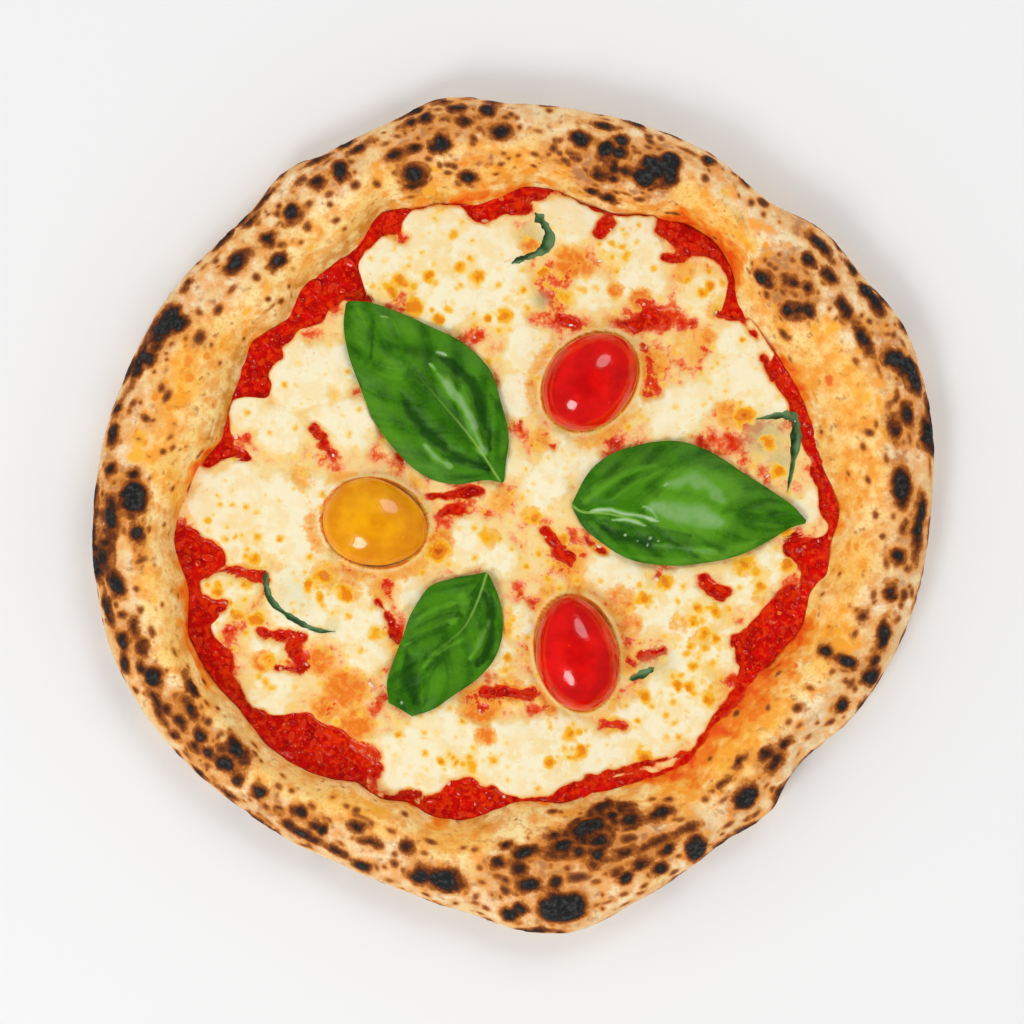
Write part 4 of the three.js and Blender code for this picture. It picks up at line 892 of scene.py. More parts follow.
# Where the sauce lies open: from x, y, to x, y, half width, and how bare (1 is quite bare).
OPENINGS = [
    (-16.2, 104, 10.2, 107.9, 2, 1), (-4.6, 102.3, 2, 102, 2.6, 1), (-12.9, 99.3, -7.9, 99.3, 2, 0.8),
    (28.4, 93.4, 31, 97.7, 2.6, 1), (50.8, 96.7, 61.4, 94.1, 4, 0.8), (61.4, 90.4, 71.3, 88.8, 2, 1),
    (49.2, 85.5, 58.7, 87.8, 1.7, 1), (70.6, 83.5, 73.9, 74.9, 1.3, 1), (71.3, 75.9, 77.2, 66.3, 0.8, 1),
    (68, 67, 75.9, 66.3, 1.7, 1), (75.2, 64.4, 81.2, 57.8, 0.6, 1), (83.2, 51.2, 86.5, 45.9, 2, 0.9),
    (87.8, 43.2, 94.4, 34, 1.5, 1), (94.4, 34, 103.6, 14.9, 1.3, 1), (103.6, 14.9, 106.9, 3.3, 1.7, 0.9),
    (92.7, -10.9, 103, -13.5, 4, 1), (100.3, -14.9, 98.3, -22.8, 3.3, 1),
    (90.4, -28.1, 78.5, -45.2, 4.6, 1), (84.5, -34, 95, -29.4, 3.3, 1), (81.8, -49.2, 76.2, -54.5, 2.6, 1),
    (72.9, -41.2, 77.9, -39.9, 1.3, 0.9), (63.4, -21.4, 70, -26.7, 2, 0.95),
    (77.2, -54.5, 68.6, -65.7, 1.2, 0.9), (68.6, -65.7, 62.7, -74.2, 1.5, 1),
    (62.7, -74.2, 58.1, -79.5, 1, 0.9), (58.1, -79.5, 44.9, -82.8, 0.8, 1),
    (44.9, -82.8, 31.7, -86.1, 1.2, 1), (31.7, -86.1, 16.8, -92.7, 1.8, 1),
    (-26.4, -96, -7.3, -94.1, 3.6, 1), (-21.1, -91.4, -14.5, -89.4, 2.3, 1),
    (-41.6, -93.7, -31, -92.1, 1.2, 0.9), (-84.5, -69, -60.7, -83.5, 4.3, 1),
    (-71.3, -71.6, -59.4, -74.9, 4.3, 1), (-58.7, -78.2, -46.9, -84.8, 3.6, 0.9),
    (-57.4, -73.6, -45.5, -79.5, 2.3, 0.75), (-108.9, -9.6, -101.6, -14.9, 5.6, 1),
    (-109.6, -21.4, -104.9, -46.2, 2.3, 0.95), (-106.3, -28.7, -97.7, -30, 2.6, 0.95),
    (-104.3, -39.9, -98.3, -50.5, 2.6, 0.85), (-99, -49.2, -91.7, -58.4, 2.3, 0.85),
    (-98.3, -18.5, -83.2, -19.1, 0.9, 0.9), (-90.4, -20.1, -83.2, -21.4, 1.7, 0.8),
    (-83.2, -38.6, -70.6, -40.6, 2.3, 0.95), (-73.3, -41.2, -70.6, -50.5, 2.6, 0.95),
    (-78.5, -50.2, -70.6, -51.8, 1.7, 0.95), (-101.6, 17.5, -95, 22.8, 1.7, 1),
    (-95, 24.1, -97, 31.4, 2, 1), (-94.4, 22.1, -87.8, 18.2, 1, 1), (-42.6, 96.7, -37, 92.1, 2.3, 0.7),
    (-55.8, 74.9, -49.5, 71, 2.6, 0.8), (-66, 28.1, -64, 25.4, 1.3, 1),
    (-63.4, 22.8, -60.7, 20.8, 1.3, 0.95), (-75.9, 14.9, -68, 9.6, 1, 0.6),
    (-73.9, 19.8, -73.9, 14.9, 0.7, 0.6), (5.3, 65.7, 25.1, 63, 2.6, 0.6), (15.8, 65, 19.8, 63.7, 1.7, 0.9),
    (34.3, 59.1, 45.5, 65, 3.3, 1), (41.6, 70.3, 44.2, 69, 2.3, 0.7), (41.6, 53.8, 45.5, 41.9, 3.6, 0.72),
    (2.6, 31.4, 2.6, 28.7, 1.3, 0.85), (7.9, 24.8, 12.5, 22.8, 1.3, 0.7),
    (-28.4, 6.9, -10.6, 6.9, 1.5, 0.85), (-24.4, 0.3, -17.2, 2.3, 1.7, 0.8),
    (10.2, -5, 15.8, -11.6, 2, 0.8), (15.2, -12.5, 18.5, -13.5, 2, 1), (24.4, -8.2, 30.4, -12.2, 1.3, 0.8),
    (-10.6, -58.4, 5.3, -59.1, 2, 0.85), (-14.5, -65, -10.6, -67, 2.6, 0.6),
    (29.7, -69, 35.6, -69.6, 2, 0.75), (41.6, -46.5, 49.5, -44.6, 1.7, 0.8),
    (37.6, -48.5, 39.6, -49.2, 1.7, 0.8), (-45.5, -28.7, -37.6, -41.2, 1.2, 1),
    (-19.5, 11.6, -4.6, 11.6, 1.3, 0.5), (-33.7, -45.2, -38.9, -53.1, 1, 0.7),
]
# Toasted blisters: x, y, radius.
TOASTED = [
    (-20, 93, 1.3), (-18, 82, 1.5), (-28, 79, 2), (-12, 78, 2.6), (-38, 77, 2.3), (-40, 73, 2),
    (-33, 69, 3.6), (-25, 65, 2), (-3, 66, 2.8), (-9, 65, 1.5), (3, 74, 1.5), (10, 80, 1.7), (13, 74, 1.3),
    (17, 72, 1.7), (30, 87, 1.2), (36, 89, 1.2), (34, 81, 1.3), (62, 73, 2), (65, 76, 1.7), (69, 77, 1),
    (84, 24, 2.6), (87, 14, 2.3), (76, 33, 3.3), (90, -6, 2), (90, -17, 2.8), (76, -16, 2.3),
    (80, -19, 1.5), (81, -23, 2), (-95, -8, 1.5), (-85, -7, 1.7), (-98, -26, 1.7), (-92, -33, 2.3),
    (-86, -15, 2.3), (-89, -23, 1.3), (-68, -24, 1.7), (-64, -27, 1.5), (-85, -35, 2.6), (-63, -20, 2.6),
    (-56, -26, 3), (-81, -48, 2.5), (-83, -55, 1.2), (-46, -39, 2), (-25, -12, 3.8), (-9, -7, 2.5),
    (-14, -83, 2.1), (-7, -81, 1.5), (-38, -73, 0.9), (-24, -82, 1.3), (-3, -47, 1.2), (-2, -38, 1.7),
    (50, -22, 2.3), (61, -31, 1.2), (66, -32, 1.7), (43, -28, 2.6), (59, -36, 1.7), (63, -39, 2),
    (67, -41, 1.7), (66, -49, 1.7), (60, -50, 1.7), (54, -56, 1.8), (58, -56, 2), (43, -60, 1.8),
    (64, -61, 2.3), (18, -73, 2.1), (22, -78, 2.3), (41, -68, 0.9), (43, -80, 2.5), (53, -69, 1),
    (33, -69, 2), (12, -82, 1.3), (7, -1, 2.3), (16, -8, 2), (14, -17, 1.2),
]
# Orange oil that gathered on the cheese: x, y, radius, amount.
OIL_POOLS = [
    (-64, -48.5, 5, 1), (-55.8, -57.8, 7.9, 1), (-52.5, -69.3, 6.6, 1), (-62.4, -63.7, 5.3, 0.9),
    (-11.2, -62.7, 7.3, 1), (-9.6, -72.6, 4, 0.9), (-83.2, -48.5, 4, 1), (-103.6, -45.2, 4, 0.9),
    (-24.4, -9.9, 5.6, 0.9), (-7.9, -7.3, 3.3, 0.8), (5.3, 0, 3.3, 0.8), (35, -28.7, 5.9, 0.8),
    (38.3, -36.3, 4.6, 0.8), (44.9, 49.5, 5.9, 0.9), (58.7, 56.1, 7.3, 0.5), (64, 59.1, 3, 0.8),
    (18.5, 83.5, 5.9, 0.95), (23.8, 81.5, 3.3, 0.9), (5.3, 88.8, 3.6, 0.8), (-62.4, -20.1, 5.3, 0.6),
    (-53.5, -24.8, 4, 0.6), (56.4, 80.2, 4, 0.7), (33.7, 74.2, 3, 0.9), (41.6, 71, 4.6, 0.9),
    (15.2, 71, 3.3, 0.7), (61.4, 91.4, 5.3, 1), (54.8, 97.4, 5.3, 0.9), (66.7, 67.7, 3.3, 0.6),
    (71.3, 33, 5.3, 0.7), (74.6, 31.4, 3.3, 0.8), (18.5, -14.9, 5.9, 0.8), (20.1, -23.1, 4, 0.7),
    (28.4, -57.8, 4.6, 0.6), (-3, -34.6, 4, 0.6), (-1.3, -57.8, 5.3, 0.8), (-55.8, -23.1, 3.3, 0.6),
    (-37.6, -42.9, 4, 0.7), (-44.2, -24.8, 4.6, 0.7), (-70.6, 12.2, 4.6, 0.5), (81.2, -28.1, 3.3, 0.5),
    (76.2, -16.5, 5.3, 0.5), (61.4, -41.2, 4, 0.6), (54.8, -36.3, 4, 0.5), (36.6, -47.9, 5.3, 0.7),
    (31.7, -69.3, 4, 0.6), (68, -57.8, 4, 0.5), (-87.1, -18.2, 4, 0.6), (-100.3, -47.9, 3.3, 0.8),
    (-40.3, 94.7, 4, 0.7), (-49.2, 89.1, 2.6, 0.5), (8.6, 24.8, 4, 0.7), (-4.6, 5, 4.6, 0.7),
    (-17.8, 3.3, 4.6, 0.5), (28.4, -9.9, 4, 0.6),
]
# Where a leaf baked into the cheese dims it with green: the same.
LEAFY = [
    (83, 26, 11, 1), (88, 18, 7, 0.9), (6, 92, 7, 0.8), (8.9, 71, 4.5, 1), (-72, -26, 12, 0.35),
    (43, -50, 4, 0.6), (49, -49, 8, 0.5), (-60, -37, 5, 0.4),
]
# How the tomatoes press into it: middle, half sizes, height, how much one end narrows, and turn.
TOMATOES = {
    "red_tomato_upper": {
        "x": 25.2, "y": 44.1, "length": 18.1, "width": 14.5, "height": 11.5, "taper": 0.06, "turn": 48,
    },
    "red_tomato_lower": {
        "x": 20.7, "y": -45.6, "length": 19.6, "width": 13.9, "height": 11.5, "taper": 0.14, "turn": 102,
    },
    "yellow_tomato": {
        "x": -46.1, "y": -2.7, "length": 17.9, "width": 14.9, "height": 9.5, "taper": 0.12, "turn": -14,
    },
}
CHEESE_UNDERSIDE_Z = 4.2
CHEESE_UNDER_TOMATO_Z = 5.5


def tomato_reach(tomato, x, y):
    """1 on a tomato's outline at its widest level, less inside and more outside."""
    turn = math.radians(tomato["turn"])
    dx, dy = x - tomato["x"], y - tomato["y"]
    along = dx * math.cos(turn) + dy * math.sin(turn)
    across = dy * math.cos(turn) - dx * math.sin(turn)
    return np.hypot(along / tomato["length"], across / tomato["width"])


def near_tomato(x, y):
    return np.minimum.reduce([tomato_reach(tomato, x, y) for tomato in TOMATOES.values()])


def melted_share(x, y, softness):
    """1 on the pieces that stayed thick, 0 away from them."""
    inside = np.maximum.reduce([radius - np.hypot(x - mx, y - my) for mx, my, radius in MELTS])
    return soft_step(inside, -softness / 2, softness / 2)


def cheese_level(x, y):
    """The cheese's even surface, that leaves rest on."""
    return SAUCE_Z + blend(FILM_TOP, MELT_THICKNESS, melted_share(x, y, 14))


def along_line(x, y, x0, y0, x1, y1):
    """Distance from the line between two points."""
    dx, dy = x1 - x0, y1 - y0
    share = np.clip(((x - x0) * dx + (y - y0) * dy) / max(dx * dx + dy * dy, 1e-6), 0, 1)
    return np.hypot(x - x0 - share * dx, y - y0 - share * dy)


def cheese_thickness(x, y):
    """Thickness of the cheese over the sauce's level. Under 0 the sauce lies bare."""
    spot = points_at(x, y)
    ragged = 1.1 * lumps(spot, 6, 31) + 0.9 * lumps(spot, 3.1, 32) + 0.5 * lumps(spot, 1.6, 33)
    drift = 1.8 * lumps(spot, 9, 39)
    sway = 1.8 * lumps(spot, 9, 40)
    film = FILM_THICKNESS + 0.45 * lumps(spot, 8, 34) + 0.3 * lumps(spot, 3.5, 35)
    thick = MELT_THICKNESS + 0.5 * lumps(spot, 12, 36) + 0.2 * lumps(spot, 5, 37)
    body = blend(film, thick, melted_share(x + drift + 1.1 * ragged, y + sway - 1.1 * ragged, 7))
    body += 0.5 * lumps(spot, 4.4, 43) + 0.3 * lumps(spot, 2.2, 44)
    for x0, y0, x1, y1, half_width, bareness in OPENINGS:
        span = 2 * half_width + 12 + math.hypot(x1 - x0, y1 - y0)
        near = np.maximum(np.abs(2 * x - x0 - x1), np.abs(2 * y - y0 - y1)) < span
        away = along_line(x[near] + 0.5 * drift[near], y[near] + 0.5 * sway[near], x0, y0, x1, y1)
        open_share = bareness * soft_step(half_width + ragged[near] * 0.9 - away, -2.2, 1.3)
        body[near] = np.minimum(body[near], blend(thick[near], BARE, open_share))
    inset = round_curve(CHEESE_SHORE, np.arctan2(y, x)) - np.hypot(x, y) + 0.55 * ragged + 0.4
    taper = 0.8 + 1.6 * soft_step(lumps(spot, 13, 38), -0.2, 0.5)
    return blend(BARE, body, soft_step(inset, -0.4, taper))


def cheese_rise(thickness):
    """Height over the sauce's level: thick pieces settled, so they stand out less than they are thick."""
    return np.maximum(3.3 * (1 - np.exp(-thickness / 1.5)), -1.3)


def toast_marks(spot):
    """How deep each point lies in a toasted blister, in mm, and how warm the cheese's tone is there."""
    dice = np.random.default_rng(8)
    blisters = []
    for bx, by, size in TOASTED:
        blisters.append((bx, by, size * 0.92))
        for _ in range(dice.integers(0, 4)):
            away, bearing = dice.uniform(2.5, 9), dice.uniform(0, 2 * np.pi)
            small = dice.uniform(0.3, 0.95)
            blisters.append((bx + away * math.cos(bearing), by + away * math.sin(bearing), small))
    toast = np.full(spot.shape[:-1], -6.0)
    warm = np.zeros(spot.shape[:-1])
    for bx, by, size in blisters:
        apart = np.hypot(spot[..., 0] - bx, spot[..., 1] - by)
        toast = np.maximum(toast, size - apart)
        warm += 0.3 * mound(apart, 13) * (size > 1)
    return toast + 1.1 * lumps(spot, 3.3, 41) + 0.8 * lumps(spot, 1.7, 42), np.clip(warm, 0, 1)


def make_cheese():
    turn = full_turn(CHEESE_SECTORS)[:, None]
    rim = np.minimum(round_curve(CHEESE_SHORE, turn) + 2.6, wall_radius(turn, SAUCE_Z + 2) + 0.5)
    share = 1 - (1 - np.arange(CHEESE_RINGS + 1) / CHEESE_RINGS) ** 1.3
    radius = np.concatenate([rim * share, rim * (1, 0.55, 0)], axis=1)
    x, y = radius * np.cos(turn), radius * np.sin(turn)
    spot = points_at(x, y)
    reach = near_tomato(x, y)
    lip = mound(np.abs(reach - 1.01), 0.09) * soft_step(lumps(spot, 8, 46), -0.6, 0.3)
    thickness = np.maximum(cheese_thickness(x, y), 1.5 * mound(np.abs(reach - 1), 0.26)) + 1.3 * lip
    height = blend(SAUCE_Z + cheese_rise(thickness), CHEESE_UNDER_TOMATO_Z, soft_step(reach, 0.95, 0.88))
    height[:, -3:] = CHEESE_UNDERSIDE_Z
    toast, warm = toast_marks(spot)
    height += 0.22 * soft_step(toast, -0.5, 1) * (thickness > 0.4)

    oil = np.zeros(x.shape)
    for ox, oy, size, amount in OIL_POOLS:
        oil = np.maximum(oil, amount * (1 - soft_step(np.hypot(x - ox, y - oy), 0.5 * size, 1.35 * size)))
    patchy = soft_step(lumps(spot, 7, 45), -0.5, 0.4)
    oil = np.maximum(oil, 0.75 * patchy * mound(np.abs(reach - 1.2), 0.26)) * (1 - 0.7 * lip)
    oil = np.maximum(oil, 1.3 * mound(np.abs(reach - 0.99), 0.05))
    greens = [amount * mound(np.hypot(x - gx, y - gy), size) for gx, gy, size, amount in LEAFY]
    marks = {
        "thickness": thickness - 1.2 * lip, "toast": np.clip(toast, -5, 5), "oil": oil, "warm": warm,
        "leafy": np.maximum.reduce(greens),
    }
    return ring_mesh("mozzarella_sheet", points_at(x, y, height), marks)


def cheese_finish():
    material, tree, skin, place = new_finish("melted_mozzarella")
    fine = reckon(tree, "SUBTRACT", mottle(tree, place, 1.3, 4, 0.65), 0.5)
    coarse = reckon(tree, "SUBTRACT", mottle(tree, place, 3.4, 4, 0.62, 0.6), 0.5)
    cover = plus(tree, plus(tree, mark(tree, "thickness"), fine, 1.2), coarse, 1.3)
    whole = stepped(tree, cover, 0.35, 0.9)
    colour = washed(
        tree, tomato_red(tree, place), cover, (-0.2, 0.4, 1, "E2380A"), (0.3, 0.85, 1, "F26A36"),
        (0.65, 1.1, 1, "FEB87C"), (0.85, 1.5, 1, "F9D892"), (1.5, 2.6, 1, "FBF0CC"),
    )
    warm = plus(tree, 0.36, mark(tree, "warm"), 0.6)
    warm_whole = reckon(tree, "MULTIPLY", warm, whole)
    colour = zoned(tree, colour, warm_whole, mottle(tree, place, 5.5, 4, 0.6, 0.3), (0.42, 0.62), "FAD070")
    colour = tint(tree, reckon(tree, "MULTIPLY", mark(tree, "leafy"), 0.7), colour, tone("B9BC84"))
    rosy = plus(tree, mottle(tree, place, 1.9, 3, 0.6), cover, -0.08)
    colour = zoned(tree, colour, whole, rosy, (0.46, 0.62, 0, 0.35), "EE9660")
    oil = plus(tree, plus(tree, mark(tree, "oil"), coarse, 1.6), fine, 0.8)
    oil = reckon(tree, "MULTIPLY", oil, whole)
    colour = washed(tree, colour, oil, (0.15, 0.55, 0.8, "FAB23C"), (0.5, 1.1, 0.95, "F0780C"))

    # Toasted blisters, listed and tiny ones: yellow at the edge, amber within, and brown at the heart.
    tiny = plus(tree, plus(tree, specks(tree, place, 4.2, 1.1, 2.2), warm, 0.8), -0.5, 1.0)
    toast = plus(tree, reckon(tree, "MAXIMUM", mark(tree, "toast"), tiny), fine, 1.4)
    toast = plus(tree, toast, reckon(tree, "SUBTRACT", 1.0, whole), -4.0)
    colour = washed(tree, colour, toast, (-1.5, -0.1, 0.65, "FFD254"), (-0.6, 0.5, 0.97, "FAB208"))
    heart = plus(tree, toast, coarse, 5.0)
    colour = washed(tree, colour, heart, (0.4, 1.5, 0.9, "EC8200"), (2.6, 3.6, 0.8, "C84404"))
    fill_inputs(tree, skin, {
        "Base Color": colour, "Roughness": stepped(tree, cover, 0.2, 1.2, 0.18, 0.38),
        "Specular IOR Level": 0.3, "Subsurface Weight": 0.1, "Subsurface Radius": (0.003, 0.0022, 0.0012),
    })
    raise_bumps(tree, skin, (mottle(tree, place, 2.8, 3, 0.5), 0.3), (mottle(tree, place, 0.8, 2), 0.03))
    return material


place_piece("mozzarella_sheet", make_cheese(), cheese_finish(), "melted_cheese", "mozzarella")

# ---- Tomato pulp and cheese crumbs ----
# Bits of crushed tomato that stand out of the bare sauce, and crumbs of curd that broke off the cheese's
# edge and lie in it. Both are small soft lumps, strewn where there is room for them.

GROUND_SPACING = 1.2
# How far the net reaches from the middle.
GROUND_REACH = 112
LUMP_LEVEL = SAUCE_Z + 0.25


def roll(tree, low, high, seed):
    """A random number for each lump."""
    inputs = {2: low, 3: high, "Seed": seed}
    return add_node(tree, "FunctionNodeRandomValue", inputs, data_type="FLOAT").outputs[1]


def lump_tree():
    """Lumps strewn over a surface, as close as its "room" value lets them be."""
    sizes = dict.fromkeys(("Spacing", "Density", "Smallest", "Largest", "Flatness"), "Float")
    sockets = {"Geometry": "Geometry", **sizes, "Seed": "Int", "Material": "Material"}
    tree, given, result = new_group("strewn_lumps", "GeometryNodeTree", sockets, "Geometry", "Geometry")
    room = add_node(tree, "GeometryNodeInputNamedAttribute", {"Name": "room"}, data_type="FLOAT").outputs[0]
    places = {"Mesh": given["Geometry"], "Distance Min": given["Spacing"], "Density Max": given["Density"]}
    places.update({"Density Factor": room, "Seed": given["Seed"]})
    points = add_node(tree, "GeometryNodeDistributePointsOnFaces", places, distribute_method="POISSON")
    ball = add_node(tree, "GeometryNodeMeshUVSphere", {"Segments": 8, "Rings": 5, "Radius": 1.0}).outputs[0]
    ball = add_node(tree, "GeometryNodeSetShadeSmooth", {"Geometry": ball}).outputs[0]
    size = roll(tree, given["Smallest"], given["Largest"], 1)
    stretch = {0: roll(tree, 0.8, 1.9, 2), 1: 0.9, 2: given["Flatness"]}
    stretch = add_node(tree, "CombineXYZ", stretch).outputs[0]
    scale = add_node(tree, "VectorMath", {0: stretch, "Scale": size}, operation="SCALE").outputs[0]
    turns = {0: (-0.3, -0.3, 0), 1: (0.3, 0.3, 6.28), "Seed": 3}
    turned = add_node(tree, "FunctionNodeRandomValue", turns, data_type="FLOAT_VECTOR").outputs[0]
    placed = {"Points": points.outputs[0], "Instance": ball, "Rotation": turned, "Scale": scale}
    lumps_on = add_node(tree, "GeometryNodeInstanceOnPoints", placed).outputs[0]
    shade = {"Geometry": lumps_on, "Name": "shade", "Value": roll(tree, 0.0, 1.0, 4)}
    shaded = add_node(
        tree, "GeometryNodeStoreNamedAttribute", shade, data_type="FLOAT", domain="INSTANCE"
    ).outputs[0]
    real = add_node(tree, "GeometryNodeRealizeInstances", {0: shaded}).outputs[0]
    done = add_node(tree, "GeometryNodeSetMaterial", {"Geometry": real, "Material": given["Material"]})
    tree.links.new(done.outputs[0], result["Geometry"])
    return tree


def ground_mesh(name, height, room):
    """A level net over the topping that carries how much room there is."""
    count = height.shape[0]
    a = (np.arange(count - 1)[:, None] * count + np.arange(count - 1)).ravel()
    faces = np.stack([a, a + count, a + count + 1, a + 1], axis=-1).tolist()
    return skin_mesh(name, points_at(net_x, net_y, height).reshape(-1, 3), faces, {"room": room.ravel()})


def strew(name, ground, material, slot, **sizes):
    """Makes one piece of the lumps strewn over a ground mesh, which is then thrown away."""
    carrier = add_object(name + "_ground", ground)
    layer = carrier.modifiers.new("lumps", "NODES")
    layer.node_group = strewn_lumps
    given = {"Material": material, **sizes}
    for socket in strewn_lumps.interface.items_tree:
        if socket.in_out == "INPUT" and socket.name in given:
            layer[socket.identifier] = given[socket.name]
    shaped = carrier.evaluated_get(bpy.context.evaluated_depsgraph_get())
    mesh = bpy.data.meshes.new_from_object(shaped)
    carrier.modifiers.remove(layer)
    bpy.data.objects.remove(carrier)
    mesh.name = name
    place_piece(name, mesh, material, slot)


def lump_finish(name, dark, pale, roughness):
    material, tree, skin, place = new_finish(name)
    share = plus(tree, mark(tree, "shade"), mottle(tree, place, 1, 2), 0.5)
    fill_inputs(tree, skin, {
        "Base Color": washed(tree, tone(dark), share, (0.3, 1.2, 1, pale)), "Roughness": roughness,
        "Subsurface Weight": 0.1, "Subsurface Radius": (0.002, 0.001, 0.0006),
    })
    return material


strewn_lumps = lump_tree()
net_line = np.arange(-GROUND_REACH, GROUND_REACH + 0.1, GROUND_SPACING)
net_x, net_y = np.meshgrid(net_line, net_line, indexing="ij")
net_cheese = cheese_thickness(net_x, net_y)
net_turn = np.arctan2(net_y, net_x)
off_crust = soft_step(wall_radius(net_turn, SHORE_Z) - np.hypot(net_x, net_y), 0.5, 2)
clear = off_crust * soft_step(near_tomato(net_x, net_y), 1.02, 1.12)
bare_room = clear * soft_step(net_cheese, 0.25, -0.3)
ragged_room = soft_step(lumps(points_at(net_x, net_y), 6, 81), -0.35, 0.25)
edge_room = clear * mound(np.abs(net_cheese - 0.25), 0.85) * ragged_room
pulp_height = LUMP_LEVEL + 0 * net_x
strew(
    "tomato_pulp", ground_mesh("bare_sauce", pulp_height, bare_room),
    lump_finish("tomato_bits", "BA0400", "E02C08", 0.16), "tomato_sauce",
    Spacing=0.0026, Density=60000.0, Smallest=0.0005, Largest=0.0017, Flatness=0.22, Seed=4,
)
curd_height = pulp_height + np.maximum(cheese_rise(net_cheese), 0)
strew(
    "curd_crumbs", ground_mesh("cheese_edge", curd_height, edge_room),
    lump_finish("curd_bits", "F0A480", "FCE4CC", 0.36), "melted_cheese",
    Spacing=0.0022, Density=40000.0, Smallest=0.0003, Largest=0.0008, Flatness=0.4, Seed=9,
)

# ---- Cherry tomatoes ----
# Two red and one yellow cherry tomato, cut in half and laid skin up before baking. The skin stays whole,
# tight and shiny, and the cheese closes round the cut edge.

TOMATO_SEAT_Z = SAUCE_Z + 3
# How deep the lower side reaches, as a share of the height over the seat.
TOMATO_SUNK = 0.18
TOMATO_COLUMNS = 96
TOMATO_ROWS = 50


def make_tomato(name, tomato, wrinkle):
    turn = full_turn(TOMATO_COLUMNS)[:, None]
    drop = np.pi * np.arange(TOMATO_ROWS + 1) / TOMATO_ROWS
    way = points_at(np.sin(drop) * np.cos(turn), np.sin(drop) * np.sin(turn), np.cos(drop))
    x, y, z = np.moveaxis(way, -1, 0)
    rise = np.where(z > 0, tomato["height"], tomato["height"] * TOMATO_SUNK)
    half_width = tomato["width"] * (1 - tomato["taper"] * x)
    points = points_at(x * tomato["length"], y * half_width, z * rise)
    dent = wrinkle * (1 + lumps(points * (0.35, 1, 1), 4, 51)) + 0.35 * (1 + lumps(points, 11, 52))
    px, py, pz = np.moveaxis(points - way * dent[..., None], -1, 0)
    slant = math.radians(tomato["turn"])
    points = points_at(
        tomato["x"] + px * math.cos(slant) - py * math.sin(slant),
        tomato["y"] + px * math.sin(slant) + py * math.cos(slant),
        pz + TOMATO_SEAT_Z,
    )
    # The side mark is painted shade: 0 on top, rising to 1 down the flanks and underneath.
    return ring_mesh(name, points, {"side": 1 - np.clip(z, 0, 1)})


def tomato_finish(name, deep, bright, pale):
    material, tree, skin, place = new_finish(name)
    colour = washed(tree, tone(deep), mottle(tree, place, 9, 3), (0.3, 0.7, 1, bright))
    # Painted shade: the skin turns deep red down the flanks of the dome.
    colour = washed(tree, colour, mark(tree, "side"), (0.55, 1, 0.7, deep))
    colour = washed(tree, colour, specks(tree, place, 2.6, 0.45, 2.0), (-0.1, 0.2, 0.35, pale))
    fill_inputs(tree, skin, {
        "Base Color": colour, "Roughness": 0.16, "Specular IOR Level": 0.28,
        "Subsurface Weight": 0.15, "Subsurface Radius": (0.005, 0.0015, 0.0006),
        "Coat Weight": 0.8, "Coat Roughness": 0.03,
    })
    raise_bumps(tree, skin, (mottle(tree, place, 3.5, 2), 0.18), (mottle(tree, place, 0.7, 2), 0.02))
    return material


red_skin = tomato_finish("red_tomato_skin", "C80000", "EE0802", "F85020")
yellow_skin = tomato_finish("yellow_tomato_skin", "E48A00", "F8AC04", "FFD040")
for name, tomato in TOMATOES.items():
    wrinkle, finish, slot = 0.04, red_skin, "red_tomato_skin"
    if name == "yellow_tomato":
        wrinkle, finish, slot = 0.3, yellow_skin, "yellow_tomato_skin"
    place_piece(name + "_half", make_tomato(name + "_half", tomato, wrinkle), finish, slot, name)

# ---- Fresh basil ----
# Three basil leaves laid on after baking. The blade is one thin waxy sheet that swells between sunken veins,
# and the two halves fold up a little from the midrib.

LEAF_THICKNESS = 0.6
LEAF_REST = 0.9
MIDRIB_DEPTH = 0.7
LEAF_COLUMNS = 190
LEAF_ROWS = 76
